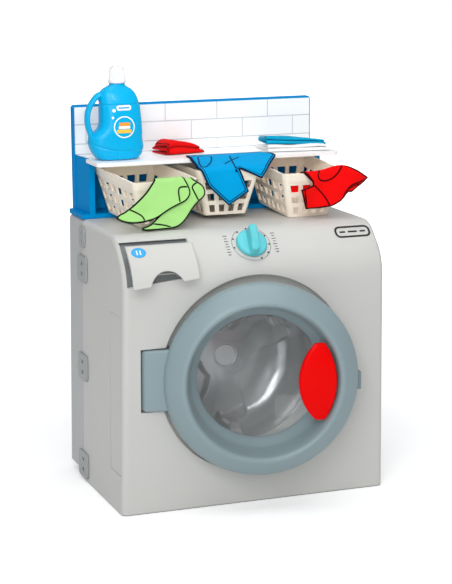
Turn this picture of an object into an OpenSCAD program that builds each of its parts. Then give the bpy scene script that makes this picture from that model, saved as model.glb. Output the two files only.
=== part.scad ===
// Toy washing machine with a swinging door, a turning drum, a cycle knob, a detergent drawer
// and a shelf above with three baskets, a bottle and felt clothes.
// Frame: X to the right, Y to the back, Z up. The origin is the middle of the footprint on the floor.
// Places are given by x, by the depth d behind the front plane, and by the height h above the body's
// bottom edge, which stands foot_h above the floor.

/* [Body shell] */
// Width of the body at its bottom edge
body_w = 436; // [430:1:450]
// Depth of the body from the front plane to the back wall
body_d = 290; // [286:1:310]
// Height of the flat top above the bottom edge
body_h = 426; // [420:1:440]
// Wall thickness of the two shells
wall = 4; // [3:0.5:5]
// Radius of the shells' outer edges
edge_r = 9; // [7:0.5:11]
// Distance that each side leans in per unit of height
side_draft = 0.0145; // [0.008:0.001:0.018]
// Angle by which the front leans forward, in degrees
front_lean = 1.6; // [1:0.1:2]
// Depth at which the slanted panel's plane meets the top's plane
panel_run = 39.5; // [36:0.5:43]
// Radius of the rounded nose below the panel
nose_r = 70; // [60:1:76]
// Radius of the rounded brow above the panel
brow_r = 44; // [38:1:50]
// Depth at which the front shell ends and the rear shell begins
seam_d = 210; // [207:1:213]
// Height by which the rear shell's floor clears the front shell's bottom edge
rear_lift = 14; // [10:1:18]
// Height of the floor glides under the shell
foot_h = 1.5; // [1:0.5:3]
// Radius of a floor glide
foot_r = 7; // [5:0.5:9]

/* [Snap clips] */
// Length of a snap clip's pad across the seam
clip_len = 50; // [46:1:54]
// Height of a snap clip's pad
clip_tall = 42; // [38:1:46]
// Thickness of a snap clip's pad
clip_thick = 2.4; // [2:0.2:3]

/* [Door] */
// Sideways place of the door's centre
door_x = -1.5; // [-4:0.5:1]
// Height of the door's centre
door_h = 205; // [201:1:207]
// Outer radius of the door ring
door_r = 150; // [147:0.5:151]
// Gap round the door ring in the round recess that it sits in
recess_gap = 5; // [3.5:0.5:6]
// Depth of that recess behind the front plane
recess_d = 6.5; // [6:0.5:8]
// Radius of the loading port behind the door
port_r = 118; // [116.5:0.5:119]
// Radius of the clear window seen from the front
window_r = 98; // [95:0.5:99]
// How far the door's ridge stands in front of the front plane
ridge_out = 36.5; // [34:0.5:38]
// Sideways place of the hinge axis
hinge_x = -172; // [-174:0.5:-170]
// Depth of the hinge axis
hinge_d = 1; // [0:0.5:2]
// Radius of the barrel round the hinge pin
barrel_r = 12; // [11:0.5:12.5]
// Radius of the hinge pin
hinge_pin_r = 3; // [2:0.5:4]
// Height of the hinge arm
arm_tall = 95; // [90:1:102]
// How far the door stands open, in degrees
door_ajar = 12; // [0:0.5:14]

/* [Door handle] */
// Sideways place of the handle's middle
grip_x = 85.5; // [84:0.5:87]
// Height of the handle's middle
grip_h = 203; // [200:1:206]
// Radius of the handle's inner edge
grip_inner_r = 81; // [79:1:85]
// Radius of the handle's outer edge
grip_outer_r = 108; // [105:1:112]
// Height of the handle
grip_tall = 119; // [112:1:122]
// Thickness of the handle at its middle
grip_thick = 13; // [11:1:15]

/* [Drum] */
// Outer radius of the drum
drum_r = 127; // [124:1:130]
// Wall thickness of the drum
drum_wall = 3; // [2.5:0.5:4]
// Depth of the drum's front rim
drum_front_d = 49; // [48:1:52]
// Depth of the outside of the drum's back plate
drum_back_d = 147; // [143:1:150]
// Radius of the drum's rounded back corner
drum_corner_r = 26; // [22:1:30]
// Height by which the spider stands out of the back plate
spider_out = 14; // [11:1:16]
// Radius of the hub cap
hub_cap_r = 16.5; // [14:0.5:18]
// Radius of the drum's axle
axle_r = 8; // [6:0.5:9]
// Wall thickness of the bush
bush_wall = 2; // [1.5:0.5:3]

/* [Knob and sound module] */
// Sideways place of the knob
knob_x = 0.5; // [-3:0.5:4]
// Depth of the knob's centre on the panel
knob_d = 17; // [16:0.5:19]
// Radius of the knob's disc
knob_r = 24.5; // [22:0.5:27]
// Thickness of the knob's disc
knob_thick = 7; // [5:0.5:9]
// Height of the grip bar above the disc
knob_bar = 16; // [12:1:20]
// Width of the grip bar
knob_bar_w = 13; // [10:0.5:15]
// Radius of the spindle
spindle_r = 3; // [2:0.5:4]
// Radius of the speaker
speaker_r = 15; // [12:0.5:16]

/* [Detergent drawer] */
// Distance from the body's left side to the drawer's front
drawer_inset = 12.5; // [11.5:0.5:14]
// Width of the drawer's front
drawer_w = 104.5; // [102:0.5:106]
// Height of the drawer front's top edge
drawer_top = 415; // [414:0.5:416]
// Height of the drawer front's bottom left corner
drawer_low_left = 356; // [353:0.5:358]
// Height of the drawer front's bottom right corner
drawer_low_right = 366; // [362:0.5:367]
// How far the drawer stands open at rest
drawer_pull = 27; // [24:1:32]
// Length of the drawer's tray behind the front plane
tray_len = 96; // [80:1:110]
// Inner depth of the tray
tray_deep = 26; // [24:1:27]
// Radius of the finger cut-out
finger_r = 27; // [24:0.5:29]

/* [Battery box] */
// Height of the battery box's middle on the back wall
battery_h = 330; // [300:1:350]
// Radius of a battery
cell_r = 5.2; // [5:0.1:5.3]
// Length of a battery
cell_len = 44; // [43:0.5:45]
// How many batteries lie side by side
cell_count = 3; // [2:1:4]

/* [Blue housing and shelf] */
// Depth of the housing's front edge
cubby_front_d = 210.5; // [208:0.5:214]
// Depth of the backsplash's face
splash_d = 270; // [268:0.5:272]
// Thickness of the backsplash
splash_thick = 15; // [12:0.5:16]
// Height of the backsplash's top edge
splash_top = 600.8; // [580:1:620]
// How far the backsplash stands out past the cubby walls' front, each side
splash_margin = 7.5; // [6:0.5:9]
// Distance from the body's side to the housing's base
base_inset = 7; // [6.5:0.5:9]
// Thickness of the cubby's floor
cubby_floor = 7.3; // [6:0.1:9]
// Thickness of the cubby's side walls
cubby_wall = 9; // [8:0.5:10]
// Distance from the body's side to the cubby wall's outer face at the front
cubby_inset = 20; // [19:0.5:22]
// Height of the shelf's top
shelf_top = 522; // [520:0.5:530]
// Thickness of the shelf
shelf_thick = 6; // [5:0.5:7]
// Depth of the shelf's front edge
shelf_front_d = 145; // [142:0.5:150]
// How far the shelf stands out past the cubby walls, each side
shelf_overhang = 5; // [3.5:0.5:7]
// Length of one wall tile
tile_w = 89.5; // [80:0.5:100]
// Height of one wall tile
tile_h = 31; // [28:0.5:34]

/* [Baskets] */
// Width of a basket's bottom
basket_w = 70; // [66:1:73]
// Length of a basket's bottom
basket_l = 124; // [118:1:126]
// Height of a basket
basket_h = 74; // [70:0.5:75]
// Distance that each side flares out over the height
basket_flare = 19; // [16:0.5:20]
// Wall thickness of a basket
basket_wall = 2.2; // [1.8:0.1:2.8]
// Height of the solid band at the rim
rim_band = 14; // [12:0.5:16]
// Rows of square holes in a basket's wall
hole_rows = 3; // [2:1:4]
// Holes in a row across the front
holes_across = 4; // [3:1:5]
// Holes in a row along the side
holes_along = 6; // [4:1:7]

/* [Bottle] */
// Distance from the shelf's left end to the bottle's cap
bottle_inset = 47; // [44:0.5:52]
// Depth of the bottle's middle
bottle_d = 190; // [186:0.5:196]
// Height of the bottle's shoulders without the cap
bottle_tall = 119; // [110:1:125]
// Thickness of the bottle from front to back
bottle_thick = 46; // [40:1:52]
// Radius of the cap at its bottom
cap_r = 14; // [13:0.5:15]
// Height of the cap
cap_tall = 26; // [22:1:30]

/* [Felt clothes] */
// Thickness of the felt
felt = 2.2; // [1.5:0.1:2.4]
// Thickness of one folded cloth
fold_thick = 8; // [6:0.5:9]

/* [Hidden] */
$fn = 64;

// Running and seating clearances
fit = 0.3;
slack = 0.1;
shaft_gap = 0.06;
eps = 0.02;

// Widths that follow the body's
cubby_half_w = body_w / 2 - cubby_inset;
base_half_w = body_w / 2 - base_inset;
splash_half_w = cubby_half_w + splash_margin;
shelf_half_w = cubby_half_w + shelf_overhang;
bottle_x = -(shelf_half_w - bottle_inset);
drawer_x0 = -(body_w / 2 - drawer_inset);
drawer_x1 = drawer_x0 + drawer_w;

// Facets round the shells' soft edges
edge_fn = 32;

// Driving places of the panel's two arcs, worked out from the lines that they touch
lean_cos = cos(front_lean);
lean_sin = sin(front_lean);
panel_c = body_h - panel_run;
nose_cx = (nose_r + lean_sin * (nose_r * sqrt(2) - panel_c)) / (lean_cos + lean_sin);
nose_cy = nose_cx - nose_r * sqrt(2) + panel_c;
brow_cx = panel_run + brow_r * (sqrt(2) - 1);
brow_cy = body_h - brow_r;

function Y(d) = d - body_d / 2;
function Z(h) = h + foot_h;
function half_w(h) = body_w / 2 - side_draft * h;
function front_at(h) = -tan(front_lean) * h;
function crown_points(inset) = concat(
    [for (a = [180 + front_lean : -(45 + front_lean) / 12 : 134.9])
        [nose_cx + (nose_r - inset) * cos(a), nose_cy + (nose_r - inset) * sin(a)]],
    [for (a = [135 : -4.5 : 90])
        [brow_cx + (brow_r - inset) * cos(a), brow_cy + (brow_r - inset) * sin(a)]]);
function arc(cx, cy, r, a0, a1, n) = [for (i = [0 : n])
    [cx + r * cos(a0 + (a1 - a0) * i / n), cy + r * sin(a0 + (a1 - a0) * i / n)]];

// A box given by its ranges in x, depth and height
module block(x, d, h) {
    translate([x[0], Y(d[0]), Z(h[0])]) cube([x[1] - x[0], d[1] - d[0], h[1] - h[0]]);
}

// An outline in x and height, carried from depth d0 to depth d1
module front_prism(points, d0, d1) {
    translate([0, Y(d1), Z(0)]) rotate([90, 0, 0]) linear_extrude(d1 - d0) polygon(points);
}

// An outline in depth and height, carried from x0 to x1
module side_prism(points, x0, x1) {
    translate([x0, Y(0), Z(0)]) rotate([90, 0, 90]) linear_extrude(x1 - x0) polygon(points);
}

// Turned shapes on the door's axis: the profile is in radius and distance in front of the front plane
module door_turned(profile) {
    translate([door_x, Y(0), Z(door_h)]) rotate([90, 0, 0]) rotate_extrude($fn = 128) polygon(profile);
}

// A cylinder along the depth, from d0 to d1
module rod(x, h, r, d0, d1) {
    translate([x, Y(d0), Z(h)]) rotate([-90, 0, 0]) cylinder(r = r, h = d1 - d0);
}

// A place on the slanted panel: local z is the outward normal and local y runs up the panel
module on_panel(x, d) {
    translate([x, Y(d), Z(panel_c + d)]) rotate([45, 0, 0]) children();
}

module rounded_rect(w, l, r) {
    union() {
        square([w - 2 * r, l], center = true);
        square([w, l - 2 * r], center = true);
        for (sx = [-1, 1]) {
            for (sy = [-1, 1]) {
                translate([sx * (w / 2 - r), sy * (l / 2 - r)]) circle(r = r, $fn = 32);
            }
        }
    }
}

// The body's outer form, drawn in by inset on every side, standing on height low
module body_form(inset, low) {
    r = edge_r - inset;
    hull() {
        for (side = [-1, 1]) {
            for (p = crown_points(edge_r)) {
                translate([side * (half_w(p[1]) - edge_r), Y(p[0]), Z(p[1])]) sphere(r = r, $fn = edge_fn);
            }
            translate([side * (half_w(body_h) - edge_r), Y(body_d - edge_r), Z(body_h - edge_r)])
                sphere(r = r, $fn = edge_fn);
            for (d = [front_at(low) + edge_r, body_d - edge_r]) {
                translate([side * (half_w(low) - edge_r), Y(d), Z(low)]) cylinder(r = r, h = 1, $fn = edge_fn);
            }
        }
    }
}

// Values shared by the door, its recess and its hinge
pocket_gap = 3;
pocket_d = hinge_d + barrel_r + 1;
arm_front = -(hinge_d - barrel_r + 0.5);
arm_low = door_h + 4 - arm_tall / 2;
arm_high = arm_low + arm_tall;
knuckle = 9;
tab_reach = 4.5;
tab_tall = 27;
tab_h = door_h - 8;
collar_end = drum_front_d - 3;

// Values shared by the drawer, its opening and its sleeve
opening_gap = 1.2;
tray_x0 = drawer_x0 + 6.5;
tray_x1 = drawer_x1 - 4;
tray_floor = 2;
tray_low = drawer_low_right + 4;
tray_high = tray_low + tray_floor + tray_deep;
sleeve_gap = 0.5;
sleeve_lip = 8;
sleeve_wall = 2.2;
finger_x = (drawer_x0 + drawer_x1) / 2 + 2;
finger_h = drawer_low_left - 3;

// Outline of the drawer's front in x and height, grown by g
function drawer_outline(g) = [
    [drawer_x0 - g, drawer_low_left - g], [drawer_x1 + g, drawer_low_right - g],
    [drawer_x1 + g, drawer_top + g], [drawer_x0 - g, drawer_top + g]];

// Heights of the snap clips, and their prongs
clip_d = seam_d - 6;
clip_heights = [26, 188, 348];
top_clip_len = 28;
top_clip_tall = 34;
top_clip_h = body_h - 27;
prong = [4, 14, 9];
prong_off = 13;

// Places of the strip that the body's left side has for a plate
strip_d = [6, 62];
strip_h = [60, 307];
strip_deep = 1;

// Values of the drum's bearing
drum_mid_h = door_h;
hub_r = 18;
hub_front_d = drum_back_d - drum_wall - spider_out;
drum_boss_d = drum_back_d + 20;
bush_front_d = drum_boss_d + fit + 2;
bush_r = axle_r + shaft_gap + bush_wall;
support_boss_r = bush_r + 9;
support_r = 62;
back_inner_d = body_d - wall;
stud_len = 12;
support_plate_d = back_inner_d - stud_len - 6;
axle_end_d = support_plate_d + 12;
bush_flange = 2;
support_screw_r = 2;
support_bolt_r = 48;
support_angles = [45, 135, 225, 315];

// Values of the sound module, in the panel's own frame
case_x0 = -30;
case_x1 = 52;
case_deep = 24;
case_half = 19;
case_wall = 2;
board_z = -wall - case_deep + 5;
switch_top = -wall - 5;
switch_deep = 10;
stem_r = 6;
speaker_x = 32;

// Values of the battery box
cell_pitch = 2 * cell_r + 0.8;
box_half_w = cell_len / 2 + 5;
box_half_h = cell_count * cell_pitch / 2 + 1.5;
box_deep = 2 * cell_r + 2;
box_flange = 8;
box_wall = 2;

// Values of the housing
wall_spread = splash_half_w - cubby_half_w;
cubby_back_d = splash_d + splash_thick;
cubby_wall_top = shelf_top - shelf_thick - 0.2;
base_low = body_h + 0.2;
floor_top = base_low + cubby_floor;
housing_tab = [30, 6, 11];
housing_tab_x = 130;
housing_tab_d = 250;
lip = 1.5;
screw_x = cubby_half_w - 2;
screw_d = 244;

function cubby_edge(d, inset) = cubby_half_w - inset
    + wall_spread * (d - cubby_front_d) / (cubby_back_d - cubby_front_d);

// Baskets: place of the middle of the bottom's front edge, yaw and tilt
rim_lip = 1.2;
inner_reach = 37;
lip_rest = floor_top + fit;
pulled_d = 101;
pulled_h = body_h + fit;
pulled_tilt = atan((lip_rest - pulled_h) / (cubby_front_d - pulled_d));
home_d = splash_d - fit - rim_lip - basket_flare - basket_l;
left_inset = 80.5;
right_inset = 66.5;
left_place = [-(cubby_half_w - left_inset), pulled_d, pulled_h, 6.5, pulled_tilt];
middle_place = [0, home_d, lip_rest, 0, 0];
right_place = [cubby_half_w - right_inset, pulled_d, pulled_h, 1.6, pulled_tilt];

module at_basket(place) {
    translate([place[0], Y(place[1]), Z(place[2])]) rotate([0, 0, place[3]]) rotate([place[4], 0, 0])
        children();
}

module front_shell() {
    color("#d0d0cd") difference() {
        body_form(0, 0);
        difference() {
            body_form(wall, wall);
            door_housing();
        }
        // Everything behind the seam belongs to the rear shell
        block([-body_w, body_w], [seam_d, body_d + 10], [-10, body_h + 10]);
        // Round recess and loading port
        rod(door_x, door_h, recess_r, -40, recess_d);
        rod(door_x, door_h, port_r, -40, collar_end + 10);
        // Pocket for the hinge arm, and the bore of its pin
        block([hinge_x - barrel_r - pocket_gap, hinge_x + 60], [-40, pocket_d],
            [arm_low - pocket_gap / 2, arm_high + pocket_gap / 2]);
        translate([hinge_x, Y(hinge_d), Z(arm_low - knuckle + 2)])
            cylinder(r = hinge_pin_r + shaft_gap / 3, h = arm_tall + 2 * knuckle - 4);
        // Notch for the latch tab
        block([door_x + door_r - 20, door_x + door_r + tab_reach + 2], [-40, recess_d],
            [tab_h - tab_tall / 2 - 1.5, tab_h + tab_tall / 2 + 1.5]);
        front_prism(drawer_outline(opening_gap), -40, 50);
        on_panel(knob_x, knob_d) translate([0, 0, -wall - 8]) cylinder(r = stem_r + 0.5, h = 20);
        // Shallow panel in the left side
        front_prism([[-body_w, strip_h[0]], [-half_w(strip_h[0]) + strip_deep, strip_h[0]],
            [-half_w(strip_h[1]) + strip_deep, strip_h[1]], [-body_w, strip_h[1]]], strip_d[0], strip_d[1]);
        clip_slots(-1);
    }
}

// Inner walls round the door's recess, port, hinge pocket and latch notch
module door_housing() {
    rod(door_x, door_h, recess_r + wall, -40, recess_d + wall - 1);
    difference() {
        rod(door_x, door_h, port_r + wall - 1, -40, collar_end);
        rod(door_x, door_h, port_r - 1, -50, collar_end + 1);
    }
    block([hinge_x - barrel_r - pocket_gap - wall + 1, hinge_x + 40], [-40, pocket_d + wall - 1],
        [arm_low - pocket_gap / 2 - knuckle, arm_high + pocket_gap / 2 + knuckle]);
    block([door_x + door_r - 20, door_x + door_r + tab_reach + 5], [-40, recess_d + wall - 1],
        [tab_h - tab_tall / 2 - 5, tab_h + tab_tall / 2 + 5]);
}

module rear_shell() {
    color("#c3c4c4") difference() {
        body_form(0, 0);
        difference() {
            body_form(wall, wall);
            block([-body_w, body_w], [0, body_d], [-10, rear_lift + wall]);
            for (a = support_angles) {
                rod(door_x + support_bolt_r * cos(a), drum_mid_h + support_bolt_r * sin(a), 6,
                    support_plate_d + 6 + slack, body_d);
            }
        }
        block([-body_w, body_w], [-30, seam_d + fit], [-10, body_h + 10]);
        block([-body_w, body_w], [0, body_d + 10], [-10, rear_lift]);
        for (a = support_angles) {
            rod(door_x + support_bolt_r * cos(a), drum_mid_h + support_bolt_r * sin(a),
                support_screw_r + shaft_gap, support_plate_d, support_plate_d + 17);
        }
        // Opening that the battery door closes
        block([-box_half_w - box_wall, box_half_w + box_wall], [back_inner_d - 5, body_d + 5],
            [battery_h - box_half_h - box_wall, battery_h + box_half_h + box_wall]);
        rod(0, battery_h + box_half_h + 5, 1.6, back_inner_d - 2, body_d + 2);
        // Slots that the housing's tabs drop into
        for (side = [-1, 1]) {
            translate([side * housing_tab_x, Y(housing_tab_d), Z(body_h)])
                cube([housing_tab[0] + 1, housing_tab[1] + 1, 30], center = true);
        }
        clip_slots(1);
    }
}

module floor_glides() {
    // A narrow skid under the rim joins the four round pads
    color("#b9bbbb") union() {
        for (x = [-body_w / 2 + 15, body_w / 2 - 15]) {
            for (d = [14, seam_d - 10]) {
                translate([x, Y(d), 0]) cylinder(r = foot_r, h = foot_h - 0.05);
            }
        }
        linear_extrude(foot_h - 0.05) difference() {
            translate([0, Y(seam_d / 2)]) rounded_rect(body_w - 2, seam_d - 2, edge_r - 1);
            translate([0, Y(seam_d / 2 + 10)]) rounded_rect(body_w - 2 * wall, seam_d - 2 * wall + 20, edge_r - wall);
        }
    }
}

// The slots of the prongs on one side of the seam: which is -1 in front of it and 1 behind it
module clip_slots(which) {
    for (side = [-1, 1]) {
        for (h = clip_heights) {
            translate([side * half_w(h), Y(seam_d + which * prong_off), Z(h)])
                cube([30, prong[0] + 0.8, prong[1] + 0.8], center = true);
        }
    }
}

module clip_pad(side, h, len, tall) {
    translate([side * (half_w(h) + 0.5), Y(seam_d - 4), Z(h)]) rotate([0, -side * atan(side_draft), 0])
        rotate([90, 0, 90]) translate([0, 0, side > 0 ? 0 : -clip_thick]) linear_extrude(clip_thick)
            difference() {
                rounded_rect(len, tall, 8);
                for (p = [-1, 1]) {
                    translate([0, p * tall / 5]) square([len / 5, tall / 7], center = true);
                }
            }
}

module snap_clips() {
    color("#bcbebf") for (side = [-1, 1]) {
        for (h = clip_heights) {
            clip_pad(side, h, clip_len, clip_tall);
            for (which = [-1, 1]) {
                translate([side * (half_w(h) + 1 - prong[2] / 2), Y(seam_d + which * prong_off), Z(h)])
                    cube([prong[2], prong[0], prong[1]], center = true);
            }
        }
        clip_pad(side, top_clip_h, top_clip_len, top_clip_tall);
    }
}

// Profile of the ring's moulded front, and of its inner side one wall behind
ring_wall = 3;
recess_r = door_r + recess_gap;
post_r = door_r - 17.5;

// Turns the door about its pin by the angle at which it stands open
module ajar() {
    translate([hinge_x, Y(hinge_d), 0]) rotate([0, 0, -door_ajar]) translate([-hinge_x, -Y(hinge_d), 0]) children();
}

module door_frame_front() {
    color("#93a7ae") ajar() difference() {
        union() {
            door_turned([
                [door_r, 3], [door_r, 11], [door_r - 3, 17.5], [door_r - 21.5, ridge_out - 2.5],
                [door_r - 25, ridge_out - 0.6], [door_r - 28, ridge_out], [door_r - 31, ridge_out - 0.8],
                [door_r - 33.5, ridge_out - 3], [window_r + 10.5, 2], [window_r, -16],
                [window_r + 3.5, -17], [window_r + 13.5, 1], [door_r - 34.5, ridge_out - 6],
                [door_r - 28, ridge_out - 3.2], [door_r - 23, ridge_out - 5.5], [door_r - 5.4, 14.8],
                [door_r - ring_wall, 10], [door_r - ring_wall, 3]]);
            // Hinge arm with the barrel round its pin
            translate([hinge_x, Y(hinge_d), Z(arm_low)]) cylinder(r = barrel_r, h = arm_tall);
            // The arm ends inside the ring's wall and stays clear of the back half
            difference() {
                block([hinge_x, door_x - sqrt(pow(door_r, 2) - pow(arm_high - door_h, 2)) + 2],
                    [-arm_front, hinge_d + 3], [arm_low, arm_high]);
                rod(door_x, door_h, door_r - ring_wall + 0.5, -arm_front - 1, hinge_d + 4);
            }
            // Posts that the back half is screwed to
            for (a = [45 : 90 : 315]) {
                rod(door_x + post_r * cos(a), door_h + post_r * sin(a), 5, -25.5, 0.6);
            }
        }
        translate([hinge_x, Y(hinge_d), Z(arm_low - 1)])
            cylinder(r = hinge_pin_r + shaft_gap, h = arm_tall + 2);
        for (a = [45 : 90 : 315]) {
            rod(door_x + post_r * cos(a), door_h + post_r * sin(a), 1.5 + shaft_gap, -12, 2);
        }
    }
}

module door_frame_back() {
    color("#8799a0") ajar() difference() {
        door_turned([
            [door_r - ring_wall - 0.3, 2.8], [door_r - ring_wall - 0.3, -3.5], [port_r - 3, -3.5],
            [window_r + 8.5, -21.5], [window_r + 1, -21.5], [window_r + 1, -19.5],
            [window_r + 7, -19.5], [port_r - 5, -0.8], [door_r - ring_wall - 3, -0.8],
            [door_r - ring_wall - 3, 2.8]]);
        for (a = [45 : 90 : 315]) {
            rod(door_x + post_r * cos(a), door_h + post_r * sin(a), 1.5 + 0.2, -5, 8);
        }
    }
}

module door_screws() {
    color("#8d9194") ajar() for (a = [45 : 90 : 315]) {
        rod(door_x + post_r * cos(a), door_h + post_r * sin(a), 1.5, -11, 3.8);
        rod(door_x + post_r * cos(a), door_h + post_r * sin(a), 3, 3.6, 5);
    }
}

// Clear bowl that curves back from its flange
bowl_deep = 22;
bowl_edge = window_r - 1;
bowl_wall = 2;
bowl_r = (bowl_edge * bowl_edge + bowl_deep * bowl_deep) / (2 * bowl_deep);

module door_window() {
    bowl_half = asin(bowl_edge / bowl_r);
    color("#dfe6ea", 0.35) ajar() door_turned(concat(
        [[window_r + 5, -19.2], [window_r + 5, -17.3], [bowl_edge, -17.3]],
        [for (i = [1 : 8]) [(bowl_r - bowl_wall) * sin(bowl_half * (8 - i) / 8),
            bowl_r - bowl_deep - 19.3 - (bowl_r - bowl_wall) * cos(bowl_half * (8 - i) / 8)]],
        [for (i = [0 : 8]) [bowl_r * sin(bowl_half * i / 8),
            bowl_r - bowl_deep - 19.3 - bowl_r * cos(bowl_half * i / 8)]]));
}

// The handle's outline is where two discs overlap, cut level at the top and bottom
grip_face = ridge_out + 0.5;
grip_bulge_r = 300;
grip_end_half = 7;

module door_handle() {
    inner_c = -grip_end_half + sqrt(pow(grip_inner_r, 2) - pow(grip_tall / 2, 2));
    outer_c = grip_end_half - sqrt(pow(grip_outer_r, 2) - pow(grip_tall / 2, 2));
    color("#e8130d") ajar() intersection() {
        union() {
            intersection() {
                translate([grip_x, Y(-grip_face + grip_thick), Z(grip_h)]) rotate([90, 0, 0])
                    linear_extrude(grip_thick + 1) intersection() {
                        translate([inner_c, 0]) circle(r = grip_inner_r, $fn = 128);
                        translate([outer_c, 0]) circle(r = grip_outer_r, $fn = 128);
                        square([200, grip_tall], center = true);
                    }
                translate([grip_x, Y(-grip_face + grip_bulge_r), Z(grip_h)])
                    sphere(r = grip_bulge_r, $fn = 128);
            }
            // The foot behind the outer edge, which reaches the ring's inner side
            translate([grip_x, Y(-grip_face + grip_thick - 1), Z(grip_h)]) mirror([0, 1, 0]) rotate([90, 0, 0])
                linear_extrude(grip_face - grip_thick) intersection() {
                    translate([inner_c, 0]) circle(r = grip_inner_r, $fn = 128);
                    translate([outer_c, 0]) circle(r = grip_outer_r - 2, $fn = 128);
                    translate([12, -grip_tall / 3]) square([20, grip_tall / 1.6]);
                }
        }
        // Everything stays inside the ring's inner cone
        door_turned([[0, -60], [0, ridge_out + 20], [door_r - 33.5 - slack + 9.2, ridge_out + 17],
            [door_r - 33.5 - slack, ridge_out - 3], [window_r + 10.5 - slack, 2], [window_r - 24, -60]]);
    }
}

module door_latch_tab() {
    color("#6f8188") ajar() difference() {
        block([door_x + door_r - 14, door_x + door_r + tab_reach], [-9, recess_d - fit - 2.5],
            [tab_h - tab_tall / 2, tab_h + tab_tall / 2]);
        rod(door_x, door_h, door_r + 0.15, -40, 40);
    }
}

module latch_catch() {
    color("#7d8b91") difference() {
        block([door_x + door_r + 1, door_x + door_r + tab_reach + 1.5], [recess_d - 2.2, recess_d - slack],
            [tab_h - tab_tall / 2 + 3, tab_h + tab_tall / 2 - 3]);
        rod(door_x, door_h, door_r + 0.5, -40, 40);
    }
}

module door_hinge_pin() {
    color("#b4b8ba") translate([hinge_x, Y(hinge_d), Z(arm_low - knuckle + 2.3)])
        cylinder(r = hinge_pin_r, h = arm_tall + 2 * knuckle - 4.6);
}

// The spider's arms run from the hub to the drum's wall, where each goes over into a paddle
arm_angles = [33, 153, 265];
arm_hub_w = 50;
arm_end_w = 74;

module spider_plan() {
    circle(r = 44, $fn = 96);
    for (a = arm_angles) {
        rotate(a) polygon([[20, -arm_hub_w / 2], [drum_r - 24, -arm_end_w / 2],
            [drum_r - 24, arm_end_w / 2], [20, arm_hub_w / 2]]);
    }
}

module drum() {
    inner_back = drum_back_d - drum_wall;
    corner = drum_corner_r;
    color("#9a9c9d") difference() {
        union() {
            door_turned(concat(
                [[drum_r - 5, -drum_front_d], [drum_r, -drum_front_d - 3]],
                arc(drum_r - corner, -drum_back_d + corner, corner, 0, -90, 6),
                [[0, -drum_back_d], [0, -inner_back]],
                arc(drum_r - corner, -drum_back_d + corner, corner - drum_wall, -90, 0, 6),
                [[drum_r - drum_wall, -drum_front_d - 5], [drum_r - 5, -drum_front_d - 4]]));
            intersection() {
                translate([door_x, Y(inner_back + 1), Z(drum_mid_h)]) rotate([90, 0, 0])
                    linear_extrude(spider_out + 1) spider_plan();
                door_turned(concat([[0, -inner_back - 1], [0, -50]], [[drum_r - 2, -50]],
                    arc(drum_r - corner, -drum_back_d + corner, corner - 1, 0, -90, 6)));
            }
            for (a = arm_angles) {
                paddle(a);
            }
            rod(door_x, drum_mid_h, hub_r, inner_back, drum_boss_d);
        }
        rod(door_x, drum_mid_h, axle_r + shaft_gap / 2, hub_front_d + 9, drum_boss_d + 1);
        rod(door_x, drum_mid_h, 2.6, hub_front_d - 1, hub_front_d + 10);
        rod(door_x, drum_mid_h, hub_cap_r + 0.3, hub_front_d - 1, hub_front_d + 5);
    }
}

// A paddle is a finger that tapers from the back plate along the drum's wall towards the front
module paddle(a) {
    translate([door_x, Y(0), Z(drum_mid_h)]) rotate([0, -a, 0]) hull() {
        translate([drum_r - 6, drum_back_d - 24, 0]) rotate([0, 90, 0]) cylinder(r = 19, h = 4, center = true);
        translate([drum_r - 26, drum_back_d - 22, 0]) sphere(r = 11, $fn = 24);
        translate([drum_r - 5, drum_front_d + 26, 0]) rotate([0, 90, 0]) cylinder(r = 10, h = 3, center = true);
        translate([drum_r - 14, drum_front_d + 34, 0]) sphere(r = 6, $fn = 24);
    }
}

module drum_hub_cap() {
    color("#a9abad") union() {
        rod(door_x, drum_mid_h, hub_cap_r, hub_front_d - 1.2, hub_front_d + 1.6);
        rod(door_x, drum_mid_h, 9, hub_front_d + 1.5, hub_front_d + 2.3);
    }
}

module drum_axle() {
    color("#c4c7c9") difference() {
        rod(door_x, drum_mid_h, axle_r, hub_front_d + 9.3, axle_end_d);
        rod(door_x, drum_mid_h, 2 + shaft_gap, hub_front_d + 9, hub_front_d + 24);
    }
}

module drum_screw() {
    color("#8d9194") union() {
        rod(door_x, drum_mid_h, 2, hub_front_d + 4.9, hub_front_d + 23);
        rod(door_x, drum_mid_h, 4.5, hub_front_d + 2.8, hub_front_d + 4.95);
    }
}

module axle_clip() {
    color("#b4b8ba") difference() {
        rod(door_x, drum_mid_h, axle_r + 5, support_plate_d + 6 + fit, support_plate_d + 8);
        rod(door_x, drum_mid_h, axle_r + slack, support_plate_d, support_plate_d + 10);
    }
}

module drum_bush() {
    color("#d9c9a3") difference() {
        union() {
            rod(door_x, drum_mid_h, bush_r, bush_front_d - bush_flange, support_plate_d + 5.8);
            rod(door_x, drum_mid_h, bush_r + 4, bush_front_d - bush_flange, bush_front_d);
        }
        rod(door_x, drum_mid_h, axle_r + shaft_gap, bush_front_d - 10, support_plate_d + 20);
    }
}

module drum_support() {
    color("#5e6468") difference() {
        union() {
            rod(door_x, drum_mid_h, support_boss_r, bush_front_d + slack, support_plate_d + 3);
            rod(door_x, drum_mid_h, support_r, support_plate_d, support_plate_d + 6);
            for (a = [0, 90]) {
                translate([door_x, Y((bush_front_d + 25 + support_plate_d) / 2 + 1), Z(drum_mid_h)])
                    rotate([0, a, 0]) cube([2 * support_r - 26, support_plate_d - bush_front_d - 25, 4], center = true);
            }
        }
        rod(door_x, drum_mid_h, bush_r + shaft_gap / 2, bush_front_d - 5, support_plate_d + 10);
        for (a = support_angles) {
            rod(door_x + support_bolt_r * cos(a), drum_mid_h + support_bolt_r * sin(a),
                support_screw_r + 0.3, support_plate_d - 2, support_plate_d + 8);
        }
    }
}

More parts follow.
